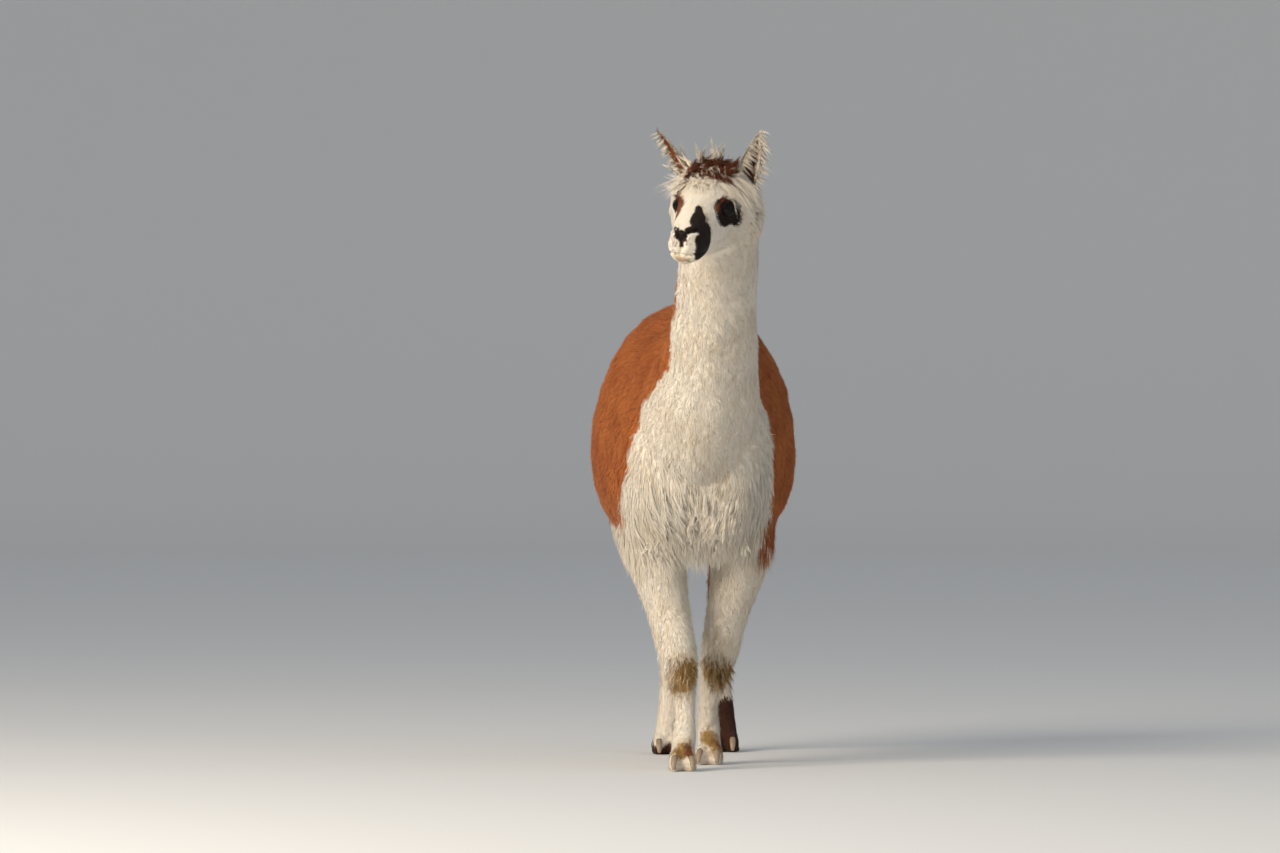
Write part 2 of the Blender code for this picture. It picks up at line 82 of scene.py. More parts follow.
REGION_ENDINGS = {
    "head": Region.HEAD,
    "ear_left": Region.EAR,
    "ear_right": Region.EAR,
    "neck": Region.NECK,
    "trunk": Region.TRUNK,
    "tail": Region.TAIL,
    "forearm": Region.UPPER_LEG,
    "thigh": Region.UPPER_LEG,
    "cannon": Region.CANNON,
    "foot": Region.FOOT,
}


def unit(vectors: Array) -> Array:
    """Returns the vectors at length one."""
    return vectors / np.maximum(np.linalg.norm(vectors, axis=-1, keepdims=True), 1e-9)


def along_surface(directions: Array, normals: Array) -> Array:
    """Lays directions into the surface.

    Args:
        directions: One direction for each point, of any length.
        normals: The surface's unit normals there.

    Returns:
        The unit directions along the surface.
    """
    flat = directions - np.sum(directions * normals, axis=1, keepdims=True) * normals
    return unit(flat)


def ramp(values: Array, low: float, high: float) -> Array:
    """Returns a smooth step from 0 at low to 1 at high, which may be the smaller number."""
    share = np.clip((values - low) / (high - low), 0.0, 1.0)
    return share * share * (3.0 - 2.0 * share)


def path_distance(points: Array, path: Iterable[Place]) -> Array:
    """Returns each point's distance from a path of straight lengths."""
    places = np.array(list(path), float)
    nearest = np.full(len(points), np.inf)
    for start, end in zip(places[:-1], places[1:]):
        run = end - start
        share = np.clip((points - start) @ run / (run @ run), 0.0, 1.0)
        gap = points - (start + share[:, None] * run)
        nearest = np.minimum(nearest, np.sqrt(np.sum(gap * gap, axis=1)))
    return nearest


def middle_of(name: str) -> Array:
    """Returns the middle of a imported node's box."""
    low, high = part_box(name)
    return np.array((Vector(low) + Vector(high)) / 2)


def region_of(name: str) -> Region | None:
    """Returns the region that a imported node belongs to, or None for an eye or a nail."""
    for ending, region in REGION_ENDINGS.items():
        if name.endswith(ending):
            return region
    return None


def share_of(weights: Array, *regions: Region) -> Array:
    """Returns the share that some regions have of each place, from every region's shares."""
    return sum(weights[:, region.value] for region in regions)


FLESH = sorted(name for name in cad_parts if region_of(name) is not None)
NAILS = sorted(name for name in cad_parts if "nail" in name)


def shown(name: str, mesh: bpy.types.Mesh) -> bpy.types.Object:
    """Puts a mesh into the scene as a named piece."""
    piece = bpy.data.objects.new(name, mesh)
    bpy.context.scene.collection.objects.link(piece)
    return piece


def applied(piece: bpy.types.Object) -> bpy.types.Object:
    """Fixes a piece's modifiers into its mesh."""
    graph = bpy.context.evaluated_depsgraph_get()
    made = bpy.data.meshes.new_from_object(piece.evaluated_get(graph))
    piece.modifiers.clear()
    piece.data = made
    return piece


@contextlib.contextmanager
def editing(mesh: bpy.types.Mesh) -> Iterator[bmesh.types.BMesh]:
    """Opens a mesh for editing, and writes the changes back afterwards."""
    opened = bmesh.new()
    opened.from_mesh(mesh)
    yield opened
    opened.to_mesh(mesh)
    opened.free()


def vectors_of(items: bpy.types.bpy_prop_collection, name: str) -> Array:
    """Reads the named vector of every item in a mesh's collection."""
    values = np.empty(len(items) * 3, np.float32)
    items.foreach_get(name, values)
    return values.reshape(-1, 3).astype(float)


def points_of(mesh: bpy.types.Mesh) -> Array:
    """Returns a mesh's points."""
    return vectors_of(mesh.vertices, "co")


def normals_of(mesh: bpy.types.Mesh) -> Array:
    """Returns the normals at a mesh's points."""
    return vectors_of(mesh.vertex_normals, "vector")


def put_points(mesh: bpy.types.Mesh, points: Array) -> None:
    """Moves a mesh's points to the given places."""
    mesh.vertices.foreach_set("co", points.astype(np.float32).ravel())
    mesh.update()


def put_field(mesh: bpy.types.Mesh, name: str, values: Array) -> None:
    """Stores one number for each point of a mesh."""
    made = mesh.attributes.new(name, "FLOAT", "POINT")
    made.data.foreach_set("value", values.astype(np.float32))


def shade_smooth(mesh: bpy.types.Mesh) -> None:
    """Shades every face of a mesh smoothly."""
    mesh.polygons.foreach_set("use_smooth", np.ones(len(mesh.polygons), bool))


def node_arrays(name: str) -> tuple[Array, list[list[int]]]:
    """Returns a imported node's points and faces."""
    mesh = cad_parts[name].data
    return points_of(mesh), [list(polygon.vertices) for polygon in mesh.polygons]


def surface_of(names: Iterable[str]) -> BVHTree:
    """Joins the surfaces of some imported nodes, for finding the nearest point."""
    points: list[Array] = []
    faces: list[list[int]] = []
    for name in names:
        own, own_faces = node_arrays(name)
        start = len(points)
        points.extend(own)
        faces.extend([[start + corner for corner in face] for face in own_faces])
    return BVHTree.FromPolygons([Vector(point) for point in points], faces)


class Seed(enum.IntEnum):
    """The first seed of each kind of draw."""

    ROOTS = 5
    TUFTS = 11
    SHADE_SLOW = 21
    SHADE_LOCKS = 22
    CLUMPS = 31
    FINE_CLUMPS = 32
    SWIRL = 33
    EAR_WOOL = 40
    SKIN_LUMPS = 51
    SKIN_TONE = 53
    LEG_WOOL = 60
    GRIZZLE = 71
    SOCK_EDGE = 72
    BLANKET_EDGE = 73
    EAR_LOCKS = 80
    LASHES = 95
    LOCKS = 100


class Ripples:
    """Smooth seeded noise in space, a sum of waves in many directions."""

    SCALE = 2.6

    def __init__(self, wavelength: float, seed: int, waves: int = 14) -> None:
        """Draws the waves.

        Args:
            wavelength: The mean length of a wave, in metres.
            seed: The seed of the draw.
            waves: How many waves are summed.
        """
        draw = np.random.default_rng(seed)
        length = wavelength * draw.uniform(0.6, 1.6, waves)
        self.pace = unit(draw.normal(size=(waves, 3))) * (2 * math.pi / length)[:, None]
        self.phase = draw.uniform(0, 2 * math.pi, waves)
        self.wavelength = wavelength

    def value(self, points: Array) -> Array:
        """Returns the noise, about -1 to 1."""
        return np.sin(points @ self.pace.T + self.phase).mean(axis=1) * self.SCALE

    def slope(self, points: Array) -> Array:
        """Returns the direction in which the noise rises, about one long where it is steepest."""
        turn = np.cos(points @ self.pace.T + self.phase)
        return (turn @ self.pace) * (self.SCALE / len(self.phase)) * (self.wavelength / (2 * math.pi))


@dataclass(frozen=True)
class HeadAxes:
    """The head's own axes, forward, left and up, placed by the two eyes.

    Attributes:
        yaw: The head's turn to the animal's right, in degrees.
        pitch: How far the nose drops, in degrees.
        roll: The head's tilt, in degrees.
        eye_place: The eyes' place forward of and above the axes' origin, in metres.
    """

    yaw: float = 21.0
    pitch: float = 15.0
    roll: float = 5.0
    eye_place: Place = (0.012, 0.0505, 0.010)

    def turn(self) -> Array:
        """Returns the forward, left and up directions as columns."""
        own = Matrix(((0, 1, 0), (-1, 0, 0), (0, 0, 1)))
        spin = (
            Matrix.Rotation(math.radians(-self.yaw), 3, "Z")
            @ Matrix.Rotation(math.radians(self.pitch), 3, "X")
            @ Matrix.Rotation(math.radians(self.roll), 3, "Y")
        )
        return np.array(spin @ own)

    def origin(self) -> Array:
        """Returns the axes' origin in the frame."""
        between = (middle_of("eye_left") + middle_of("eye_right")) / 2
        forward, _, up = self.eye_place
        return between - self.turn() @ np.array((forward, 0.0, up))

    def local(self, points: Array) -> Array:
        """Returns points of the frame in the head's axes."""
        return (points - self.origin()) @ self.turn()

    def placed(self, points: Array) -> Array:
        """Returns points of the head's axes in the frame."""
        return points @ self.turn().T + self.origin()

    def aimed(self, directions: Array) -> Array:
        """Returns directions of the head's axes in the frame."""
        return directions @ self.turn().T


AXES = HeadAxes()

# How far each ear leans out and how far its hollow turns out, and how far both lean back, in degrees.
EAR_POSE = {"left": (14.0, 22.0), "right": (33.0, 40.0)}
EAR_BACK = -4.0

# The mouth's line and a nostril on the head's left side, in the head's axes.
MOUTH = (
    (0.156, 0.000, -0.0565), (0.153, 0.012, -0.0570), (0.146, 0.027, -0.0560),
    (0.125, 0.036, -0.0575), (0.104, 0.039, -0.0620),
)
NOSTRIL = ((0.149, 0.006, -0.0175), (0.142, 0.012, -0.0110), (0.127, 0.025, -0.0085))


def mirrored(path: Iterable[Place], side: int) -> list[Place]:
    """Returns a path of the head's left side, or its copy on the right for a side of -1."""
    return [(forward, left * side, up) for forward, left, up in path]


def both_sides(points: Array, path: Iterable[Place]) -> Array:
    """Returns each point's distance from a path of the head's left side or its copy."""
    path = list(path)
    gaps = [path_distance(points, mirrored(path, side)) for side in (1, -1)]
    return np.minimum(*gaps)


@dataclass(frozen=True)
class Capsule:
    """A rounded length in the head's axes or the frame, used to mark out a patch of colour."""

    start: Place
    end: Place
    radius: float

    def inside(self, points: Array) -> Array:
        """Returns how far each point lies inside the capsule, negative outside it."""
        return self.radius - path_distance(points, (self.start, self.end))


def patch(points: Array, capsules: Iterable[Capsule]) -> Array:
    """Returns how far each point lies inside the nearest of some capsules."""
    return np.max([capsule.inside(points) for capsule in capsules], axis=0)


@dataclass(frozen=True)
class Markings:
    """Where the coat changes colour, as distances inside each patch in metres.

    The blanket is the chestnut of the back, flanks, thighs, nape and topknot. Its front edge runs
    up the shoulder, further forward on the animal's right.

    Attributes:
        edge_heights: Heights at which the blanket's front edge is given.
        edge_right: The edge's place along the body at those heights, on the animal's right.
        edge_left: The same on the animal's left.
        belly: Heights under which the flank pales towards the belly, on the left and right.
        hock: Height of the chestnut's lower edge on the thighs.
        drop: Places along the body between which that edge falls from the flank to the hock.
        drop_right: How much further back it falls on the animal's right.
        waver: How far the edge strays up and down there.
        hind_start: The place along the body behind which the legs carry the blanket.
        neck_along: Heights, and the neck's middle line along the body at each of them.
        neck_across: Heights, and the neck's middle line across the body at each of them.
        nape_edge: Where the nape's chestnut comes forward on the animal's right.
        hind_feet: The place along the body behind which the feet are dark.
        hind_socks: Heights of the dark hind feet, on the animal's left and right.
        sock_slant: How much higher their edge is for each metre back.
        sock_place: The place along the body at which it has those heights.
        hollow_shares: Shares of an ear's length at which its brown hollow's half width is given.
        hollow_left: The left hollow's half widths there.
        hollow_right: The right hollow's half widths there.
        muzzle: The near-black patch on the nose, its bridge and the left of the muzzle.
        lobes: The two sides of the upper lip, where dark hairs grow among the pale ones.
        eye_dark: The near-black round the eyes.
        rust: The russet edges of the dark on the face.
        spots: The small brown spots on the legs.
        stains: The tan stains on the knees and feet.
        lip_stain: The tan stain on the lips.
    """

    edge_heights: tuple[float, ...] = (0.49, 0.55, 0.60, 0.64, 0.70, 0.77, 0.82, 0.86)
    edge_right: tuple[float, ...] = (0.06, -0.12, -0.11, -0.17, -0.18, -0.20, -0.28, -0.34)
    edge_left: tuple[float, ...] = (-0.15, -0.14, -0.11, -0.06, -0.05, -0.06, -0.04, -0.06)
    belly: tuple[float, float] = (0.492, 0.525)
    hock: float = 0.315
    drop: tuple[float, float] = (0.30, 0.46)
    drop_right: float = 0.11
    waver: float = 0.012
    hind_start: float = 0.15
    neck_along: tuple[tuple[float, ...], ...] = ((0.70, 0.90, 1.05, 1.20), (-0.14, -0.28, -0.40, -0.48))
    neck_across: tuple[tuple[float, ...], ...] = ((0.70, 0.95, 1.20), (0.0, 0.02, 0.045))
    nape_edge: Capsule = Capsule((-0.026, -0.382, 1.084), (-0.026, -0.362, 1.000), 0.042)
    hind_feet: float = 0.3
    hind_socks: tuple[float, float] = (0.102, 0.040)
    sock_slant: float = 0.25
    sock_place: float = 0.50
    hollow_shares: tuple[float, ...] = (0.0, 0.35, 0.62, 0.85, 1.0)
    hollow_left: tuple[float, ...] = (0.013, 0.0125, 0.0080, 0.001, -0.004)
    hollow_right: tuple[float, ...] = (0.020, 0.020, 0.0165, 0.010, 0.004)
    muzzle: tuple[Capsule, ...] = (
        Capsule((0.081, 0.013, 0.025), (0.090, 0.015, 0.018), 0.0090),
        Capsule((0.096, 0.018, 0.010), (0.114, 0.018, 0.001), 0.0150),
        Capsule((0.110, 0.036, -0.014), (0.117, 0.034, -0.052), 0.0235),
        Capsule((0.132, 0.031, -0.032), (0.130, 0.031, -0.056), 0.0165),
        Capsule((0.140, 0.010, -0.008), (0.126, 0.022, -0.008), 0.0090),
        Capsule((0.147, -0.001, -0.016), (0.151, 0.001, -0.020), 0.0110),
        Capsule((0.152, 0.002, -0.024), (0.156, 0.0015, -0.037), 0.0060),
        Capsule((0.126, -0.025, -0.0085), (0.140, -0.014, -0.0105), 0.0050),
        Capsule((0.140, -0.014, -0.0105), (0.150, -0.006, -0.020), 0.0070),
    )
    lobes: tuple[Capsule, ...] = (
        Capsule((0.150, 0.017, -0.022), (0.153, 0.013, -0.044), 0.0130),
        Capsule((0.146, -0.020, -0.022), (0.152, -0.015, -0.044), 0.0130),
    )
    eye_dark: tuple[Capsule, ...] = (
        Capsule((0.034, 0.049, 0.012), (0.036, 0.050, 0.004), 0.0265),
        Capsule((0.010, 0.066, 0.008), (0.014, 0.067, -0.004), 0.0200),
        Capsule((0.014, -0.060, 0.014), (0.030, -0.054, 0.008), 0.0200),
        Capsule((0.030, -0.054, 0.018), (0.058, -0.038, 0.012), 0.0085),
    )
    rust: tuple[Capsule, ...] = (
        Capsule((0.052, 0.041, 0.018), (0.042, 0.044, 0.030), 0.0050),
        Capsule((0.042, 0.044, 0.030), (0.026, 0.052, 0.035), 0.0045),
        Capsule((0.079, 0.032, 0.014), (0.092, 0.037, 0.000), 0.0030),
        Capsule((0.012, -0.062, 0.034), (0.060, -0.036, 0.022), 0.0110),
        Capsule((0.072, -0.034, 0.004), (0.050, -0.060, -0.034), 0.0120),
    )
    spots: tuple[Capsule, ...] = (
        Capsule((-0.030, 0.47, 0.300), (-0.032, 0.47, 0.270), 0.016),
        Capsule((-0.080, 0.50, 0.190), (-0.082, 0.49, 0.150), 0.014),
        Capsule((0.050, 0.54, 0.235), (0.048, 0.54, 0.200), 0.012),
        Capsule((-0.013, -0.285, 0.052), (-0.012, -0.300, 0.040), 0.010),
        Capsule((0.055, -0.010, 0.050), (0.060, 0.005, 0.075), 0.011),
    )
    stains: tuple[Capsule, ...] = (
        Capsule((-0.012, -0.230, 0.216), (-0.026, -0.240, 0.202), 0.034),
        Capsule((0.036, -0.052, 0.206), (0.060, -0.040, 0.194), 0.033),
        Capsule((0.030, -0.010, 0.064), (0.052, -0.010, 0.045), 0.024),
        Capsule((-0.010, -0.290, 0.060), (-0.030, -0.290, 0.040), 0.020),
    )
    lip_stain: Capsule = Capsule((0.150, -0.012, -0.066), (0.146, 0.012, -0.068), 0.010)

    def blanket(self, points: Array, weights: Array) -> Array:
        """Measures the chestnut blanket, nape and topknot.

        Args:
            points: Places in the frame.
            weights: The regions' shares at those places.

        Returns:
            The distance inside the chestnut, negative outside.
        """
        side = ramp(points[:, 0], -0.04, 0.04)
        right = np.interp(points[:, 2], self.edge_heights, self.edge_right)
        left = np.interp(points[:, 2], self.edge_heights, self.edge_left)
        behind = points[:, 1] - (right * (1 - side) + left * side)
        rear = ramp(points[:, 1] - self.drop_right * (1 - side), *self.drop)
        floor = (self.belly[1] * (1 - side) + self.belly[0] * side) * (1 - rear) + self.hock * rear
        floor = floor + Ripples(0.070, Seed.BLANKET_EDGE).value(points) * self.waver * rear
        body = np.minimum(behind, (points[:, 2] - floor) * 1.5)
        local = AXES.local(points)
        nape = self.nape(points)
        head = np.minimum(nape, -0.055 - local[:, 0])
        share = weights / weights.sum(axis=1, keepdims=True)
        trunk = share_of(share, Region.TRUNK, Region.TAIL)
        on_leg = share_of(share, Region.UPPER_LEG, Region.CANNON, Region.FOOT)
        on_head = share_of(share, Region.HEAD, Region.EAR)
        neck = share_of(share, Region.NECK)
        legs = np.where(points[:, 1] > self.hind_start, body, np.minimum(body, -0.02))
        made = trunk * body + on_leg * legs + on_head * head + neck * np.maximum(nape, body)
        return np.where(share_of(share, Region.EAR) > 0.5, OUTSIDE, made)

    def nape(self, points: Array) -> Array:
        """Returns the distance inside the chestnut stripe along the back of the neck."""
        side = np.abs(points[:, 0] - np.interp(points[:, 2], *self.neck_across))
        back = points[:, 1] - np.interp(points[:, 2], *self.neck_along)
        return np.maximum(back - 0.035 - 0.10 * side, self.nape_edge.inside(points))

    def dark(self, points: Array) -> Array:
        """Returns the distance inside the near-black patches."""
        local = AXES.local(points)
        solid = np.maximum(patch(local, self.muzzle), patch(local, self.eye_dark))
        # Painted shade: near-black along the nostril and mouth grooves, for the shade inside these
        # openings.
        painted_opening_shade = np.maximum(0.0034 - both_sides(local, NOSTRIL), 0.0021 - both_sides(local, MOUTH))
        return np.maximum(solid, painted_opening_shade)

    def umber(self, points: Array, weights: Array, normals: Array) -> Array:
        """Returns the distance inside the dark brown of the hind feet and the ears' hollows."""
        hind = points[:, 1] > self.hind_feet
        slant = self.sock_slant * (points[:, 1] - self.sock_place)
        top = np.where(points[:, 0] > 0.0, self.hind_socks[0], self.hind_socks[1])
        uneven = Ripples(0.050, Seed.SOCK_EDGE).value(points) * 0.006
        sock = np.where(hind, top - points[:, 2] + slant + uneven, OUTSIDE)
        local = AXES.local(points)
        lips = patch(local, self.lobes)
        grizzle = np.minimum(lips, -0.0020) + Ripples(0.0060, Seed.GRIZZLE).value(local) * 0.0008
        sock = np.where(lips > 0, grizzle, sock)
        hollow = self.hollow(points, normals, "left", self.hollow_left)
        return np.where(share_of(weights, Region.EAR) > 0.5, hollow, sock)

    def hollow(self, points: Array, normals: Array, side: str, halves: tuple[float, ...]) -> Array:
        """Returns the distance inside the brown hollow of the ear on one side."""
        root, run = PELT_MAP.ears[side]
        facing, across = PELT_MAP.ear_turn(side)
        share = (points - root) @ run / (run @ run)
        aside = np.abs((points - root) @ across - share * (run @ across))
        inside = np.interp(share, self.hollow_shares, halves) - aside
        inside = np.minimum(inside, (normals @ facing - 0.10) * 0.03)
        inside = np.minimum(inside, (share - 0.05) * 0.08)
        near = np.linalg.norm(points - root - run / 2, axis=1) < 0.10
        return np.where(near, inside, OUTSIDE)

    def rusty(self, points: Array, weights: Array, normals: Array) -> Array:
        """Returns the distance inside the russet patches, the right ear's hollow and the crown."""
        local = AXES.local(points)
        front = 0.002 - local[:, 0] - 0.8 * local[:, 1] ** 2 / 0.06
        crown = np.minimum(np.minimum(front, local[:, 2] - 0.060), local[:, 0] + 0.075)
        crown = np.minimum(crown, 0.060 - np.abs(local[:, 1] + 0.004))
        face = np.maximum(patch(local, self.rust), crown)
        on_ear = share_of(weights, Region.EAR) > 0.5
        hollow = self.hollow(points, normals, "right", self.hollow_right)
        return np.where(on_ear, hollow, np.maximum(face, patch(points, self.spots)))

    def stain(self, points: Array) -> Array:
        """Returns the distance inside the tan stains on the knees, feet and lips."""
        lips = self.lip_stain.inside(AXES.local(points)) - 0.006
        return np.maximum(patch(points, self.stains), lips)

    def fields(self, points: Array, normals: Array, weights: Array) -> dict[str, Array]:
        """Returns every patch's distances at the given places, by name."""
        return {
            "blanket": self.blanket(points, weights),
            "dark": self.dark(points),
            "umber": self.umber(points, weights, normals),
            "rust": self.rusty(points, weights, normals),
            "stain": self.stain(points),
        }


MARKINGS = Markings()


@dataclass(frozen=True)
class Pelt:
    """The coat of one region.

    Attributes:
        depth: How far the tufts' tips stand above the skin.
        reach: How far a tuft runs along the skin.
        width: A tuft's width.
        spacing: The distance between roots.
    """

    depth: float
    reach: float
    width: float
    spacing: float


PELTS = {
    Region.HEAD: Pelt(0.0034, 0.0130, 0.0019, 0.00182),
    Region.EAR: Pelt(0.0008, 0.0085, 0.0016, 0.0019),
    Region.NECK: Pelt(0.0032, 0.0170, 0.0027, 0.00240),
    Region.TRUNK: Pelt(0.0044, 0.0210, 0.0031, 0.00290),
    Region.TAIL: Pelt(0.0110, 0.0400, 0.0034, 0.0036),
    Region.UPPER_LEG: Pelt(0.0030, 0.0155, 0.0025, 0.00264),
    Region.CANNON: Pelt(0.0026, 0.0125, 0.0023, 0.00235),
    Region.FOOT: Pelt(0.0018, 0.0070, 0.0018, 0.0020),
}


# Places forward along the face, and the shares of the head's depth and reach that its coat has there.
FACE_PLACES = (-0.02, 0.02, 0.06, 0.11, 0.15)
FACE_DEPTHS = (1.0, 0.8, 0.36, 0.20, 0.15)
FACE_REACHES = (1.0, 0.9, 0.60, 0.40, 0.30)

# How much the breast, knees and belly add to the coat's depth, reach, width and spacing.
CHEST_GROWTH = (0.15, 1.1, 0.15, 0.10)
KNEE_GROWTH = (1.1, 0.5, 0.1, 0.0)
BELLY_GROWTH = (0.0, 0.7, 0.1, 0.12)

# The fronts of the right and the left knee.
KNEES = (
    Capsule((-0.026, -0.228, 0.232), (-0.024, -0.236, 0.188), 0.030),
    Capsule((0.044, -0.050, 0.226), (0.050, -0.036, 0.188), 0.030),
)

# The way that each region's coat lies, apart from the head's and the ears'.
LIES = {
    Region.NECK: (0.0, 0.60, -0.80),
    Region.TRUNK: (0.0, 0.42, -0.80),
    Region.TAIL: (0.0, 0.10, -1.0),
    Region.UPPER_LEG: (0.0, 0.12, -1.0),
    Region.CANNON: (0.0, 0.05, -1.0),
    Region.FOOT: (0.0, -0.45, -0.80),
}


class PeltMap:
    """The coat's measures and lie at any place on the body.

    Attributes:
        FURTHEST: How far off a region's surface is looked for.
        BLEND: How far one region's coat runs into the next.
        BLENDS: The same for the regions with a sharper edge.
    """

    FURTHEST = 0.5
    BLEND = 0.028
    BLENDS = {Region.EAR: 0.004, Region.FOOT: 0.012}

    def __init__(self) -> None:
        """Prepares the regions' surfaces and the ears' axes."""
        self.table = np.array(
            [[p.depth, p.reach, p.width, p.spacing] for p in (PELTS[r] for r in Region)]
        )
        self.trees = {
            region: surface_of(name for name in FLESH if region_of(name) is region)
            for region in Region
        }
        self.ears = {side: self.ear_axis(side) for side in ("left", "right")}

    @staticmethod
    def ear_axis(side: str) -> tuple[Array, Array]:
        """Returns an ear's root and its direction, root to tip."""
        points, _ = node_arrays(f"ear_{side}")
        tip = points[np.argmax(points[:, 2])]
        low = points[points[:, 2] < np.quantile(points[:, 2], 0.12)]
        root = low.mean(axis=0)
        return root, tip - root

    @staticmethod
    def ear_turn(side: str) -> tuple[Array, Array]:
        """Returns the way an ear's hollow faces and the way across it, towards the animal's left."""
        sign = 1 if side == "left" else -1
        lean, turn = EAR_POSE[side]
        spin = (
            Matrix.Rotation(math.radians(-sign * lean), 3, "X")
            @ Matrix.Rotation(math.radians(EAR_BACK), 3, "Y")
            @ Matrix.Rotation(math.radians(sign * turn), 3, "Z")
        )
        axes = AXES.turn() @ np.array(spin)
        return axes[:, 0], axes[:, 1]

    def weights(self, points: Array) -> Array:
        """Shares each place among the regions by their distance.

        Args:
            points: Places near the surface.

        Returns:
            A share for each place and region, summing to one.
        """
        gaps = np.full((len(points), len(Region)), 1.0)
        places = [Vector(point) for point in points]
        for region in Region:
            find = self.trees[region].find_nearest
            found = [find(place, self.FURTHEST)[3] for place in places]
            gaps[:, region.value] = [1.0 if gap is None else gap for gap in found]
        nearest = gaps.min(axis=1, keepdims=True)
        scale = np.array([self.BLENDS.get(region, self.BLEND) for region in Region])
        shares = np.exp(-(((gaps - nearest) / scale) ** 2))
        on_ear = share_of(shares, Region.EAR) > 0.8
        shares[on_ear] *= np.eye(len(Region))[Region.EAR.value] + 0.02
        return shares / shares.sum(axis=1, keepdims=True)

    def measures(self, points: Array, weights: Array) -> Array:
        """Works out the coat's depth, reach, width and spacing.

        Args:
            points: Places near the surface.
            weights: The regions' shares there.

        Returns:
            Four numbers for each place.
        """
        made = weights @ self.table
        local = AXES.local(points)
        head = share_of(weights, Region.HEAD)
        forward = local[:, 0]
        face = ramp(forward, 0.000, 0.060)
        nose = ramp(forward, 0.060, 0.125)
        eyes = self.near_eye(local)
        depth = np.interp(forward, FACE_PLACES, FACE_DEPTHS)
        depth = np.minimum(depth, 1.0 - 0.82 * eyes)
        reach = np.interp(forward, FACE_PLACES, FACE_REACHES)
        reach = np.minimum(reach, 1.0 - 0.55 * eyes)
        shrink = np.stack(
            [depth, reach, 1.0 - 0.35 * face - 0.25 * nose, 1.0 - 0.12 * face - 0.22 * nose], axis=1
        )
        made *= 1.0 + head[:, None] * (shrink - 1.0)
        belly = ramp(points[:, 2], 0.56, 0.49) * share_of(weights, Region.TRUNK)
        for share, growth in (
            (self.chest(points, weights), CHEST_GROWTH),
            (ramp(patch(points, KNEES), -0.004, 0.012), KNEE_GROWTH),
            (belly, BELLY_GROWTH),
        ):
            made *= 1.0 + share[:, None] * np.array(growth)
        return made

    @staticmethod
    def near_eye(local: Array) -> Array:
        """Returns how near each place is to an eye, 0 to 1."""
        forward, aside, up = AXES.eye_place
        gaps = [
            np.linalg.norm(local - np.array((forward + 0.004, aside * side, up)), axis=1)
            for side in (1, -1)
        ]
        return ramp(np.min(gaps, axis=0), 0.038, 0.022)

    @staticmethod
    def chest(points: Array, weights: Array) -> Array:
        """Returns how much of the hanging chest fleece each place carries."""
        body = share_of(weights, Region.TRUNK, Region.NECK)
        front = ramp(points[:, 1], -0.02, -0.14)
        hem = 0.25 + 0.75 * ramp(points[:, 2], 0.47, 0.51)
        return body * front * ramp(points[:, 2], 0.70, 0.56) * hem

    def lie(self, points: Array, normals: Array, weights: Array) -> Array:
        """Works out which way the coat lies.

        Args:
            points: Places near the surface.
            normals: The surface's normals there.
            weights: The regions' shares there.

        Returns:
            Unit directions along the surface.
        """
        aims = np.array([LIES.get(region, (0.0, 0.0, 0.0)) for region in Region])
        chest = self.chest(points, weights)
        flow = weights @ aims
        flow += chest[:, None] * np.array((0.0, -0.55, -0.35))
        flow[:, 0] += chest * (0.75 * ramp(points[:, 0], 0.06, -0.10) - 0.10)
        local = AXES.local(points)
        own = np.empty_like(local)
        back = ramp(local[:, 0], 0.03, -0.03)
        own[:, 0] = -1.0 + 0.55 * back
        own[:, 1] = local[:, 1] * 6.0
        own[:, 2] = np.where(local[:, 2] > 0.02, 0.15, -0.25) - 0.9 * back
        head = share_of(weights, Region.HEAD)
        flow += head[:, None] * AXES.aimed(own)
        ear = share_of(weights, Region.EAR)
        for root, run in self.ears.values():
            near = ramp(np.linalg.norm(points - root - run / 2, axis=1), 0.095, 0.075)
            flow += (ear * near)[:, None] * unit(run[None])[0] * 1.5
        return along_surface(flow, normals)


PELT_MAP = PeltMap()


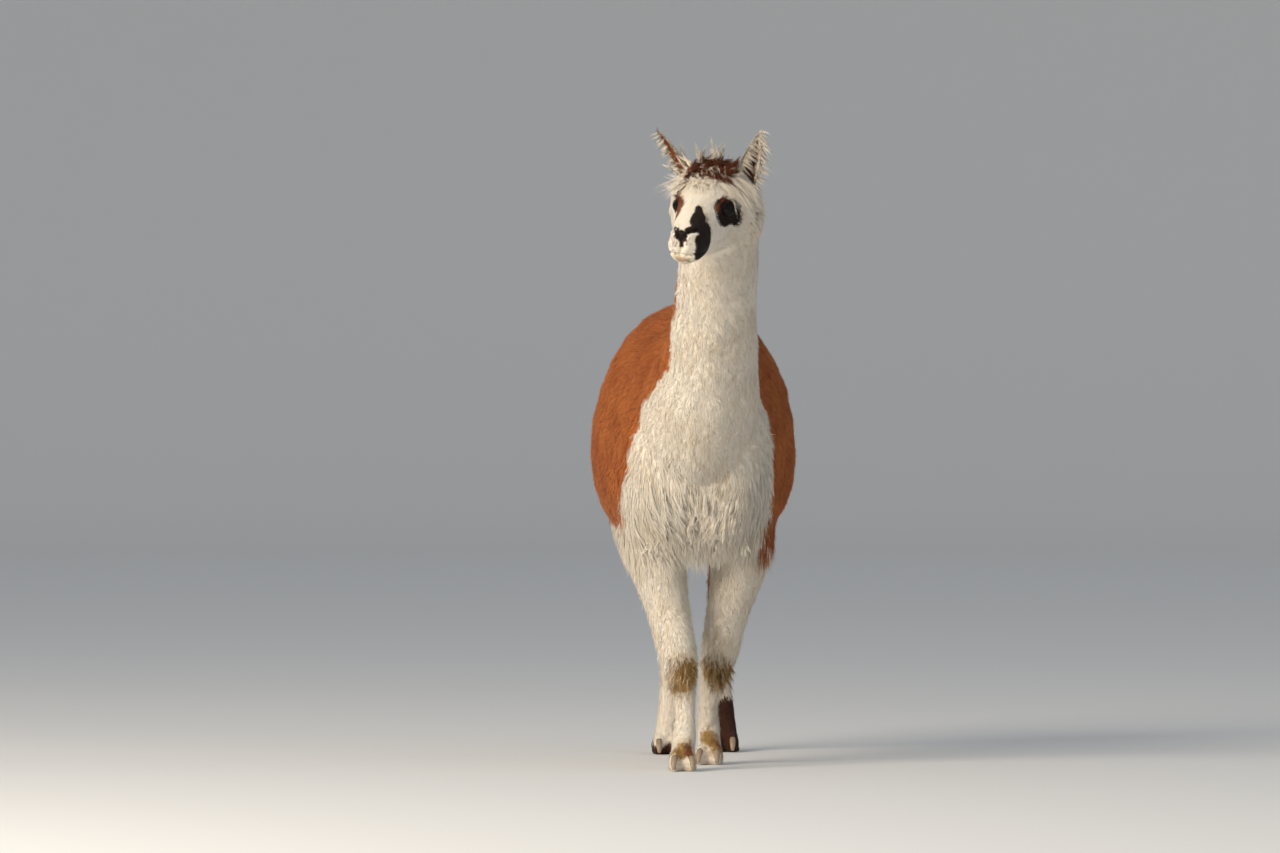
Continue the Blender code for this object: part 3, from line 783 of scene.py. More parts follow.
@dataclass
class Eye:
    """One eyeball, and the almond that its lids leave open.

    Attributes:
        side: 1 for the animal's left, -1 for its right.
        radius: The eyeball's radius.
        cornea: How far the cornea swells from the ball.
        outward: The angle between the nose's direction and the eye's, in degrees.
        lift: How far the eye looks up, in degrees.
        half_length: The opening's half length as an angle at the ball's middle, in degrees.
        upper: The upper lid's edge above the axis at the opening's middle, in degrees.
        lower: The lower lid's edge under the axis, in degrees.
        tilt: How far the opening drops towards its front corner, as a share of the angle.
        lid: The lids' thickness.
        sunk: How far the ball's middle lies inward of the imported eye's.
    """

    side: int
    radius: float = 0.0215
    cornea: float = 0.0012
    outward: float = 60.0
    lift: float = 4.0
    half_length: float = 66.0
    upper: float = 48.0
    lower: float = 45.0
    tilt: float = 0.05
    lid: float = 0.0019
    sunk: float = 0.0038

    def name(self) -> str:
        """Returns the eye's name in the frame."""
        return "eye_left" if self.side > 0 else "eye_right"

    @staticmethod
    def arch(share: Array | float) -> Array | float:
        """Returns the opening's height, 1 to 0, at a share of its half length."""
        return (1.0 - share**2.2) ** 0.75

    def centre(self) -> Array:
        """Returns the ball's middle in the head's axes."""
        forward, aside, up = AXES.eye_place
        return np.array((forward, (aside - self.sunk) * self.side, up))

    def lid_place(self, across: float, past: float) -> Array:
        """Returns a place on the upper lid.

        Args:
            across: The angle towards the front corner, in degrees.
            past: How far above the lid's edge it lies, in degrees.

        Returns:
            The place in the head's axes.
        """
        arch = self.arch(abs(across / self.half_length))
        rise = math.radians(self.upper * arch - across * self.tilt + past)
        turn = math.radians(across)
        aim = (math.cos(rise) * math.cos(turn), math.cos(rise) * math.sin(turn), math.sin(rise))
        return self.centre() + self.basis() @ np.array(aim) * (self.radius + self.lid)

    def basis(self) -> Array:
        """Returns the eye's axis, the direction to its front corner and its up as columns."""
        turn, lift = math.radians(self.outward), math.radians(self.lift)
        axis = np.array((math.cos(turn), math.sin(turn) * self.side, math.tan(lift)))
        axis /= np.linalg.norm(axis)
        up = np.array((0.10, 0.0, 1.0))
        up -= axis * (up @ axis)
        up /= np.linalg.norm(up)
        corner = np.cross(up, axis) * self.side
        corner *= np.sign(corner[0])
        return np.stack([axis, corner, up], axis=1)

    def angles(self, local: Array) -> tuple[Array, Array, Array]:
        """Measures places round the ball.

        Args:
            local: Places in the head's axes.

        Returns:
            Their distance from the ball's middle, and their angles towards the front corner and
            up, in degrees. Places behind the ball come out at 180.
        """
        own = (local - self.centre()) @ self.basis()
        reach = np.linalg.norm(own, axis=1)
        ahead = own[:, 0] / np.maximum(reach, 1e-6)
        across = np.degrees(np.arctan2(own[:, 1], np.maximum(own[:, 0], 1e-6)))
        rise = np.degrees(np.arcsin(np.clip(own[:, 2] / np.maximum(reach, 1e-6), -1, 1)))
        return reach, np.where(ahead > 0.05, across, 180.0), rise

    def opening(self, across: Array, rise: Array) -> Array:
        """Returns how far inside the opening each direction lies, in degrees."""
        share = np.clip(np.abs(across) / self.half_length, 0.0, 1.0)
        arch = self.arch(share)
        tilt = across * self.tilt
        top = self.upper * arch - tilt - rise
        base = rise + self.lower * arch + tilt
        past = (self.half_length - np.abs(across)) * 0.8
        return np.minimum(np.minimum(top, base), past)


EYES = (Eye(1), Eye(-1))


@dataclass(frozen=True)
class Fold:
    """A groove along a path on the head, or a raised fold.

    Attributes:
        path: Its path, on the head's left side or down the middle.
        width: How wide it is.
        depth: How deep it is pressed, or with a negative number how high it is raised.
    """

    path: tuple[Place, ...]
    width: float
    depth: float


SIDE_FOLDS = {
    "brow": Fold(
        ((0.030, 0.048, 0.040), (0.006, 0.066, 0.036), (-0.016, 0.078, 0.024)), 0.010, -0.0030
    ),
    "tear": Fold(((0.045, 0.046, -0.004), (0.070, 0.034, -0.016)), 0.006, 0.0018),
    "cheek": Fold(
        ((0.040, 0.058, -0.024), (0.000, 0.076, -0.020), (-0.030, 0.086, -0.014)), 0.011, -0.0026
    ),
    "lip": Fold(((0.148, 0.013, -0.038), (0.138, 0.024, -0.040)), 0.009, -0.0034),
    "nose": Fold(((0.143, 0.010, -0.004), (0.128, 0.024, -0.001)), 0.007, -0.0026),
    "lobe": Fold(((0.152, 0.013, -0.030), (0.153, 0.011, -0.044)), 0.008, -0.0030),
    "wing": Fold(
        ((0.150, 0.012, -0.0225), (0.143, 0.020, -0.0170), (0.131, 0.030, -0.0160)), 0.0045, -0.0024
    ),
    "nostril": Fold(NOSTRIL, 0.0034, 0.0062),
    "mouth": Fold(MOUTH, 0.0028, 0.0050),
    "jaw": Fold(((0.120, 0.034, -0.045), (0.100, 0.040, -0.040)), 0.010, -0.0014),
}
MIDDLE_FOLDS = {
    "split": Fold(((0.150, 0.001, -0.018), (0.158, 0.001, -0.050)), 0.0028, 0.0036),
    "notch": Fold(((0.157, 0.000, -0.0500), (0.157, 0.000, -0.0560)), 0.0036, 0.0030),
    "chin": Fold(((0.146, 0.000, -0.068), (0.132, 0.000, -0.078)), 0.011, -0.0020),
}


@dataclass
class Skin:
    """One skin over all the flesh, inside it by the coat's depth.

    Attributes:
        voxel: The first mesh's cell.
        overlap: How far the nodes are grown so that their cuts close.
        socket: How far the closed lids lie outside the eyeball before they are opened.
        triangles: About how many triangles are kept before the face is refined.
        body_rounds: Smoothing rounds over the trunk and neck.
        leg_rounds: Smoothing rounds over the legs.
        foot_rounds: Smoothing rounds over the feet.
        head_rounds: Smoothing rounds over the head.
        ear_rounds: Smoothing rounds over the ears.
        foot_top: Height of the feet's upper end.
        sole_top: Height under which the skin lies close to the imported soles.
        sole_depth: How far inside them it lies there.
        crease: How deep the crease over each upper lid is.
        lid_roll: How far the lids swell just outside their edges.
        behind_lids: How far inside the eyeball the skin goes behind the lids.
        lumps: The wavelengths of the fleece's lumps, large and small.
        lump_rises: How far they rise.
        lump_stretch: How closely they follow each other along each axis.
        fleece_drop: How far the plush fleece's skin is lowered to make room for them.
        breast_hollow: The middle of the hollow where the breast's fleece parts.
        hollow_depth: How deep it is.
        hollow_radius: How far it reaches.
        hollow_stretch: How closely it is drawn in along each axis.
    """

    voxel: float = 0.0025
    overlap: float = 0.0004
    socket: float = 0.0040
    triangles: int = 120000
    body_rounds: int = 90
    leg_rounds: int = 14
    foot_rounds: int = 4
    head_rounds: int = 7
    ear_rounds: int = 3
    foot_top: float = 0.06
    sole_top: float = 0.012
    sole_depth: float = 0.0008
    crease: float = 0.0014
    lid_roll: float = 0.0006
    behind_lids: float = 0.0030
    lumps: tuple[float, float] = (0.070, 0.030)
    lump_rises: tuple[float, float] = (0.0018, 0.0006)
    lump_stretch: Place = (1.3, 1.0, 0.5)
    fleece_drop: float = 0.0010
    breast_hollow: Place = (0.030, -0.245, 0.625)
    hollow_depth: float = 0.0015
    hollow_radius: float = 0.026
    hollow_stretch: Place = (1.0, 0.6, 0.7)

    def join_flesh(self) -> bpy.types.Object:
        """Joins the flesh into one mesh of cells and smooths the facets away."""
        mesh = bpy.data.meshes.new("skin")
        with editing(mesh) as joined:
            for name in FLESH:
                joined.from_mesh(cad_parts[name].data)
            bmesh.ops.remove_doubles(joined, verts=joined.verts, dist=SAME_PLACE)
            joined.normal_update()
            for vertex in joined.verts:
                vertex.co += vertex.normal * self.overlap
            for eye in EYES:
                bmesh.ops.create_uvsphere(
                    joined,
                    u_segments=48,
                    v_segments=24,
                    radius=eye.radius + self.socket,
                    matrix=Matrix.Translation(Vector(AXES.placed(eye.centre()))),
                )
        skin = shown("skin", mesh)
        remesh = skin.modifiers.new("cells", "REMESH")
        remesh.mode = "VOXEL"
        remesh.voxel_size = self.voxel
        return applied(skin)

    def smooth(self, skin: bpy.types.Object) -> None:
        """Smooths each part by its own number of rounds, and thins out what the fleece hides."""
        points = points_of(skin.data)
        local = AXES.local(points)
        head = (local[:, 0] > -0.125) & (local[:, 2] > -0.085) & (points[:, 1] < -0.40)
        ears = np.zeros(len(points), bool)
        for side in ("left", "right"):
            low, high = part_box(f"ear_{side}")
            above = points > np.array(low) - 0.004
            under = points < np.array(high) + 0.004
            ears |= np.all(above & under, axis=1) & (points[:, 2] > low[2] + 0.022)
        head &= ~ears
        legs = (points[:, 2] < 0.44) & ~head
        feet = points[:, 2] < self.foot_top
        body = ~(head | ears | legs)
        parts = (
            ("body", body, self.body_rounds),
            ("legs", legs & ~feet, self.leg_rounds),
            ("feet", feet, self.foot_rounds),
            ("head", head, self.head_rounds),
            ("ears", ears, self.ear_rounds),
        )
        for name, chosen, rounds in parts:
            group = skin.vertex_groups.new(name=name)
            group.add(np.flatnonzero(chosen).tolist(), 1.0, "REPLACE")
            modifier = skin.modifiers.new(name, "SMOOTH")
            modifier.factor = 0.5
            modifier.iterations = rounds
            modifier.vertex_group = name
        thinned = skin.vertex_groups.new(name="thinned")
        thinned.add(np.flatnonzero(body | (legs & ~feet)).tolist(), 1.0, "REPLACE")
        decimate = skin.modifiers.new("thin", "DECIMATE")
        decimate.ratio = min(1.0, self.triangles / (2 * len(skin.data.polygons)))
        decimate.vertex_group = "thinned"
        applied(skin)
        skin.vertex_groups.clear()

    def inset(self, mesh: bpy.types.Mesh) -> None:
        """Moves the skin in by the coat's depth."""
        for _ in range(2):
            points = points_of(mesh)
            weights = PELT_MAP.weights(points)
            depth = PELT_MAP.measures(points, weights)[:, 0]
            depth = np.where(points[:, 2] < self.sole_top, self.sole_depth, depth)
            put_points(mesh, points - normals_of(mesh) * (depth / 2)[:, None])

    def lump(self, mesh: bpy.types.Mesh) -> None:
        """Raises the soft lumps that the fleece gathers into."""
        points = points_of(mesh)
        weights = PELT_MAP.weights(points)
        plush = share_of(weights, Region.NECK, Region.TRUNK, Region.TAIL)
        legs = share_of(weights, Region.UPPER_LEG, Region.CANNON)
        stretched = points * np.array(self.lump_stretch)
        rise = np.zeros(len(points))
        for index, (size, height) in enumerate(zip(self.lumps, self.lump_rises)):
            rise += Ripples(size, Seed.SKIN_LUMPS + index).value(stretched) * height
        rise *= plush + 0.5 * legs
        gap = np.linalg.norm((points - self.breast_hollow) * self.hollow_stretch, axis=1)
        hollow = self.hollow_depth * np.exp(-((gap / self.hollow_radius) ** 2))
        rise = rise - self.fleece_drop * plush - hollow
        put_points(mesh, points + normals_of(mesh) * rise[:, None])

    def refine_face(self, mesh: bpy.types.Mesh) -> None:
        """Halves the cells over the face, where the folds and lids are."""
        with editing(mesh) as fine:
            local = AXES.local(np.array([vertex.co for vertex in fine.verts]))
            near_face = (local[:, 0] > -0.030) & (local[:, 2] > -0.090) & (local[:, 2] < 0.050)
            chosen = [edge for edge in fine.edges if all(near_face[v.index] for v in edge.verts)]
            bmesh.ops.subdivide_edges(fine, edges=chosen, cuts=1, smooth=0.0, use_grid_fill=True)
            bmesh.ops.triangulate(fine, faces=[face for face in fine.faces if len(face.verts) > 3])

    @staticmethod
    def press(mesh: bpy.types.Mesh, fold: Fold, side: int = 1) -> None:
        """Presses one fold into the head, or its copy on the right for a side of -1."""
        points = points_of(mesh)
        gap = path_distance(AXES.local(points), mirrored(fold.path, side))
        amount = fold.depth * np.exp(-((gap / fold.width) ** 2))
        put_points(mesh, points - normals_of(mesh) * amount[:, None])

    def shape_face(self, mesh: bpy.types.Mesh) -> None:
        """Adds the brow, cheek, lips, nostrils, mouth and chin."""
        for side in (1, -1):
            for fold in SIDE_FOLDS.values():
                self.press(mesh, fold, side)
        for fold in MIDDLE_FOLDS.values():
            self.press(mesh, fold)

    def open_lids(self, mesh: bpy.types.Mesh, eye: Eye) -> None:
        """Draws the lids over the ball and opens the almond between them."""
        points = points_of(mesh)
        local = AXES.local(points)
        reach, across, rise = eye.angles(local)
        inside = eye.opening(across, rise)
        near = (reach < eye.radius + 0.014) & (across < 120)
        rim = eye.radius + eye.lid
        crease = self.crease * np.exp(-(((inside + 13.0) / 4.0) ** 2)) * (rise > 0)
        hug = rim + self.lid_roll * np.exp(-(((inside + 3.0) / 3.0) ** 2)) - crease
        blend = ramp(inside, -30.0, -9.0)
        target = reach * (1 - blend) + np.minimum(reach, hug) * blend
        target = np.where(inside > -2.0, rim, target)
        sunk = eye.radius - self.behind_lids
        target = np.where(inside > 0.0, rim + (sunk - rim) * ramp(inside, 0.0, 5.0), target)
        target = np.where(near, target, reach)
        own = local - eye.centre()
        moved = eye.centre() + own * (target / np.maximum(reach, 1e-6))[:, None]
        put_points(mesh, np.where(near[:, None], AXES.placed(moved), points))

    def build(self) -> bpy.types.Object:
        """Builds the skin and stores its markings."""
        skin = self.join_flesh()
        LOG.info("skin: %d cells", len(skin.data.polygons))
        self.smooth(skin)
        mesh = skin.data
        LOG.info("skin: %d faces after thinning", len(mesh.polygons))
        self.inset(mesh)
        self.lump(mesh)
        self.refine_face(mesh)
        self.shape_face(mesh)
        for eye in EYES:
            self.open_lids(mesh, eye)
        shade_smooth(mesh)
        points = points_of(mesh)
        fields = MARKINGS.fields(points, normals_of(mesh), PELT_MAP.weights(points))
        for name, values in fields.items():
            put_field(mesh, name, values)
        # Every skin point takes a fixed place along a tuft, so the skin gets part of the tufts' painted
        # root shade.
        put_field(mesh, "along", np.full(len(points), 0.45))
        tone = Ripples(0.016, Seed.SKIN_TONE).value(points)
        put_field(mesh, "tuft", np.clip(0.5 + tone * 0.22, 0, 1))
        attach(skin, ROOT_BODY)
        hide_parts(*FLESH)
        LOG.info("skin: %d points", len(points))
        return skin


@dataclass
class Roots:
    """Where tufts grow, with the surface and the coat there."""

    points: Array
    normals: Array
    weights: Array

    def chosen(self, keep: Array) -> "Roots":
        """Returns only the roots that are kept."""
        return Roots(self.points[keep], self.normals[keep], self.weights[keep])

    def __len__(self) -> int:
        """Returns how many roots there are."""
        return len(self.points)


@dataclass
class Sower:
    """Spreads roots over the skin at each region's spacing.

    Attributes:
        mesh: The skin.
        seed: The seed of the draw.
        sole_margin: Height under which nothing grows.
        eye_reach: How far off an eyeball its lids' bare edges are looked for.
        lid_margin: How wide a lid's bare edge is, in degrees.
        nostril_margin: How wide the bare skin along a nostril is, to each side.
        mouth_margin: How wide the bare skin along the mouth is, to each side.
        nail_margin: How wide the bare skin round a nail is.
        nail_top: Height under which nails are looked for.
        corners: The skin's triangles.
        points: The skin's points.
        normals: The skin's normals at its points.
        weights: The regions' shares at its points.
    """

    mesh: bpy.types.Mesh
    seed: int = Seed.ROOTS
    sole_margin: float = 0.0045
    eye_reach: float = 0.012
    lid_margin: float = 5.0
    nostril_margin: float = 0.0036
    mouth_margin: float = 0.0026
    nail_margin: float = 0.0026
    nail_top: float = 0.08
    corners: Array = field(init=False)
    points: Array = field(init=False)
    normals: Array = field(init=False)
    weights: Array = field(init=False)

    def __post_init__(self) -> None:
        """Reads the skin."""
        self.mesh.calc_loop_triangles()
        corners = np.empty(len(self.mesh.loop_triangles) * 3, np.int32)
        self.mesh.loop_triangles.foreach_get("vertices", corners)
        self.corners = corners.reshape(-1, 3)
        self.points = points_of(self.mesh)
        self.normals = normals_of(self.mesh)
        self.weights = PELT_MAP.weights(self.points)

    def blocked(self, points: Array) -> Array:
        """Returns which places grow no coat: soles, eye openings, nostrils and the lips' edge."""
        local = AXES.local(points)
        bare = points[:, 2] < self.sole_margin
        for eye in EYES:
            reach, across, rise = eye.angles(local)
            near = reach < eye.radius + self.eye_reach
            bare |= near & (eye.opening(across, rise) > -self.lid_margin)
        bare |= both_sides(local, NOSTRIL) < self.nostril_margin
        bare |= both_sides(local, MOUTH) < self.mouth_margin
        return bare | self.by_nail(points)

    def by_nail(self, points: Array) -> Array:
        """Returns which places lie at the edge of a nail, where the skin folds in."""
        find = surface_of(NAILS).find_nearest
        made = np.zeros(len(points), bool)
        for place in np.flatnonzero(points[:, 2] < self.nail_top):
            made[place] = find(Vector(points[place]), self.nail_margin)[3] is not None
        return made

    def sow(self) -> Roots:
        """Spreads the roots.

        Returns:
            The roots, in the order of the skin's triangles.
        """
        a, b, c = (self.points[self.corners[:, i]] for i in range(3))
        area = np.linalg.norm(np.cross(b - a, c - a), axis=1) / 2
        spacing = PELT_MAP.measures(self.points, self.weights)[:, 3]
        gap = spacing[self.corners].mean(axis=1)
        wanted = np.cumsum(area / gap**2)
        draw = np.random.default_rng(self.seed)
        count = int(wanted[-1])
        marks = (np.arange(count) + draw.uniform(0.0, 1.0, count)) * (wanted[-1] / count)
        chosen = np.minimum(np.searchsorted(wanted, marks), len(area) - 1)
        share = draw.uniform(0.0, 1.0, (count, 2))
        flip = share.sum(axis=1) > 1.0
        share[flip] = 1.0 - share[flip]
        parts = np.stack([1.0 - share.sum(axis=1), share[:, 0], share[:, 1]], axis=1)
        corners = self.corners[chosen]

        def mixed(values: Array) -> Array:
            """Returns the skin's values at the roots."""
            return np.einsum("nk,nkd->nd", parts, values[corners])

        roots = Roots(mixed(self.points), unit(mixed(self.normals)), mixed(self.weights))
        return roots.chosen(~self.blocked(roots.points))


class Tint(enum.Enum):
    """What colour a tuft takes: its place's own, or one given to the whole group."""

    OWN = "own"
    CREAM = "cream"
    CHESTNUT = "chestnut"
    RUSSET = "russet"
    DARK = "dark"

    def change(self, fields: dict[str, Array]) -> None:
        """Sets the markings' distances so that the tint shows."""
        if self is Tint.OWN:
            return
        shown_by = {Tint.CHESTNUT: "blanket", Tint.RUSSET: "rust", Tint.DARK: "dark"}
        chosen = shown_by.get(self, "")
        for name in fields:
            fields[name] = np.full(len(fields[name]), -OUTSIDE if name == chosen else OUTSIDE)


@dataclass
class Tufts:
    """A set of tufts, each a closed spindle bent over from its root.

    Attributes:
        roots: Where they grow.
        aims: Their unit directions along the skin.
        reach: How far each runs along the skin.
        height: How far each tip stands off the skin.
        width: Their widths.
        rings: How many rings of three points each spindle has, or none for a plain spike.
        sag: How far each tip drops, in metres.
        shade: A random number for each tuft, which varies its colour.
        flat: The thickness as a share of the width.
        seed: The seed of the draw that turns each tuft about itself.
        tint: The colour of the whole set.
        curl: How far each tuft's middle swings sideways, as a share of its reach.
        lean: How far the normals of its upper faces lean towards the skin's, 0 to 1.
        ROOTED: How far under the skin each root lies.
        TIP_FLOOR: The lowest height of a tip.
        KNEE_FLOOR: The lowest height of the point that bends a tuft over.
    """

    ROOTED: ClassVar[float] = 0.0012
    TIP_FLOOR: ClassVar[float] = 0.0006
    KNEE_FLOOR: ClassVar[float] = 0.0010

    roots: Roots
    aims: Array
    reach: Array
    height: Array
    width: Array
    rings: int = 1
    sag: Array | float = 0.0
    shade: Array | None = None
    flat: float = 0.30
    seed: int = Seed.TUFTS
    tint: Tint = Tint.OWN
    curl: Array | float = 0.0
    lean: float = 0.90

    def rings_along(self) -> list[float]:
        """Returns the rings' places along the tuft, 0 at the root and 1 at the tip."""
        if self.rings == 0:
            return [0.0]
        if self.rings == 1:
            return [0.40]
        return [0.16 + 0.66 * ring / (self.rings - 1) for ring in range(self.rings)]

    def centreline(self, share: float) -> tuple[Array, Array]:
        """Follows the tufts.

        Args:
            share: The place along them.

        Returns:
            The points there and the tufts' directions there.
        """
        normals = self.roots.normals
        start = self.roots.points - normals * self.ROOTED
        knee = start + normals * (self.height * 0.62)[:, None]
        knee += self.aims * (self.reach * 0.30)[:, None]
        knee += np.cross(normals, self.aims) * (self.reach * self.curl)[:, None]
        tip = self.roots.points + normals * self.height[:, None] + self.aims * self.reach[:, None]
        tip[:, 2] = np.maximum(tip[:, 2] - self.sag, self.TIP_FLOOR)
        knee[:, 2] = np.maximum(knee[:, 2], self.KNEE_FLOOR)
        rest = 1.0 - share
        points = rest * rest * start + 2 * rest * share * knee + share * share * tip
        return points, unit(2 * rest * (knee - start) + 2 * share * (tip - knee))

    def mesh_arrays(self) -> tuple[Array, Array, Array, Array]:
        """Makes the points and faces.

        Returns:
            The points, the triangles, each point's place along its tuft, and each point's place
            across its patch of the unwrap.
        """
        count = len(self.roots)
        draw = np.random.default_rng(self.seed)
        spin = draw.uniform(-0.6, 0.6, count)
        pointed = self.rings > 0
        layers = [self.centreline(0.0)[0][:, None, :]] if pointed else []
        along = [np.zeros((count, 1))] if pointed else []
        across = [np.zeros((count, 1))] if pointed else []
        places = self.rings_along()
        for place in places:
            middle, run = self.centreline(place)
            aside = unit(np.cross(self.roots.normals + self.aims * 0.2, run))
            above = np.cross(run, aside)
            swell = 1.0 if self.rings < 2 else 1.15 * math.sin(math.pi * place**0.7)
            half = self.width / 2 * swell
            ring = []
            for corner in range(3):
                angle = spin + math.pi / 2 + corner * 2 * math.pi / 3
                offset = aside * np.cos(angle)[:, None] + above * (np.sin(angle) * self.flat)[:, None]
                ring.append(middle + offset * half[:, None])
            layers.append(np.stack(ring, axis=1))
            along.append(np.full((count, 3), place))
            across.append(np.tile((0.0, -1.0, 1.0), (count, 1)))
        layers.append(self.centreline(1.0)[0][:, None, :])
        along.append(np.ones((count, 1)))
        across.append(np.zeros((count, 1)))
        points = np.concatenate(layers, axis=1)
        stride = points.shape[1]
        first = np.arange(count)[:, None, None] * stride
        faces = first + self.pattern()[None]
        return (
            points.reshape(-1, 3),
            faces.reshape(-1, 3),
            np.concatenate(along, axis=1).ravel(),
            np.concatenate(across, axis=1).ravel(),
        )

    def pattern(self) -> Array:
        """Returns one tuft's triangles."""
        if self.rings == 0:
            return np.array([(0, 2, 1), (0, 1, 3), (1, 2, 3), (2, 0, 3)])
        faces = [(0, 1 + (k + 1) % 3, 1 + k) for k in range(3)]
        for ring in range(self.rings - 1):
            low = 1 + 3 * ring
            for k in range(3):
                after = (k + 1) % 3
                faces.append((low + k, low + after, low + 3 + after))
                faces.append((low + k, low + 3 + after, low + 3 + k))
        last = 1 + 3 * (self.rings - 1)
        tip = last + 3
        faces.extend((last + k, last + (k + 1) % 3, tip) for k in range(3))
        return np.array(faces)

    def triangles(self) -> int:
        """Returns how many triangles the set has."""
        return len(self.roots) * len(self.pattern())


class Unwrap(enum.Enum):
    """The straight line that a piece is unrolled about."""

    LENGTHWISE = (1, 0, 2)
    UPRIGHT = (2, 0, 1)


@dataclass
class CoatPiece:
    """One joined mesh of tufts that share a region.

    Attributes:
        name: The piece's name.
        tufts: The tufts in it.
        unwrap: Which way its part of the skin is unrolled.
        slot: The name of a material slot; it is not used.
        patch_size: How wide each tuft's patch is on the unwrap.
        stations: At how many places the middle line is found.
        margin: The empty edge of the unwrap.
    """

    name: str
    tufts: Tufts
    unwrap: Unwrap
    slot: str
    patch_size: float = 0.003
    stations: int = 12
    margin: float = 0.01

    def places(self) -> Array:
        """Unrolls the roots about the piece's own middle line and fills the unwrap with them."""
        roots = self.tufts.roots.points
        run, first, second = self.unwrap.value
        length = roots[:, run]
        low, high = length.min(), length.max()
        share = (length - low) / max(high - low, 1e-6)
        bins = np.clip((share * self.stations).astype(int), 0, self.stations - 1)
        counts = np.maximum(np.bincount(bins, minlength=self.stations), 1)
        marks = (np.arange(self.stations) + 0.5) / self.stations
        offsets = []
        for axis in (first, second):
            centres = np.bincount(bins, roots[:, axis], self.stations) / counts
            offsets.append(roots[:, axis] - np.interp(share, marks, centres))
        angle = np.arctan2(*offsets) / (2 * math.pi) + 0.5
        return self.margin + (1.0 - 2 * self.margin) * np.stack([angle, share], axis=1)

    def soften(self, mesh: bpy.types.Mesh, points: Array, faces: Array) -> None:
        """Leans the tufts' normals towards the skin's, so that they shade as one soft coat.

        Args:
            mesh: The piece's mesh.
            points: Its points.
            faces: Its triangles.
        """
        a, b, c = (points[faces[:, corner]] for corner in range(3))
        facing = unit(np.cross(b - a, c - a))
        skin = np.repeat(self.tufts.roots.normals, len(faces) // len(self.tufts.roots), axis=0)
        outward = np.sum(facing * skin, axis=1)
        share = (self.tufts.lean * ramp(outward, -0.16, 0.06))[:, None, None]
        own = normals_of(mesh)[faces]
        mixed = unit(own * (1.0 - share) + skin[:, None, :] * share)
        made = mesh.attributes.new("custom_normal", "FLOAT_VECTOR", "CORNER")
        made.data.foreach_set("vector", mixed.astype(np.float32).ravel())

    def build(self, coat: "Coat", material: bpy.types.Material) -> bpy.types.Object:
        """Builds the piece.

        Args:
            coat: The coat it belongs to, which reads the markings.
            material: The wool that it wears.

        Returns:
            The piece, riding on the body.
        """
        points, faces, along, across = self.tufts.mesh_arrays()
        mesh = bpy.data.meshes.new(self.name)
        mesh.vertices.add(len(points))
        mesh.vertices.foreach_set("co", points.astype(np.float32).ravel())
        mesh.loops.add(faces.size)
        mesh.loops.foreach_set("vertex_index", faces.astype(np.int32).ravel())
        mesh.polygons.add(len(faces))
        mesh.polygons.foreach_set("loop_start", np.arange(0, faces.size, 3, dtype=np.int32))
        mesh.update(calc_edges=True)
        shade_smooth(mesh)
        self.soften(mesh, points, faces)
        stride = len(points) // len(self.tufts.roots)
        roots = self.tufts.roots
        fields = MARKINGS.fields(roots.points, roots.normals, roots.weights)
        self.tufts.tint.change(fields)
        shade = self.tufts.shade
        fields["tuft"] = coat.shades(roots.points) if shade is None else shade
        for name, values in fields.items():
            put_field(mesh, name, np.repeat(values, stride))
        put_field(mesh, "along", along)
        middle = np.repeat(self.places(), stride, axis=0)
        size = self.patch_size
        spread = np.stack([across * size * 0.5, (along - 0.5) * size], axis=1)
        uv = np.clip(middle + spread, 0.0, 1.0)
        layer = mesh.uv_layers.new(name=UV_MAP)
        layer.data.foreach_set("uv", uv[faces.ravel()].astype(np.float32).ravel())
        mesh.materials.append(material)
        piece = shown(self.name, mesh)
        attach(piece, ROOT_BODY)
        LOG.info("%s: %d tufts, %d triangles", self.name, len(roots), len(faces))
        return piece


# The least and the most that a hair's length, lift and width are of its lock's.
HAIR_LENGTHS = (0.65, 1.05)
HAIR_LIFTS = (0.6, 1.3)
HAIR_WIDTHS = (0.7, 1.3)


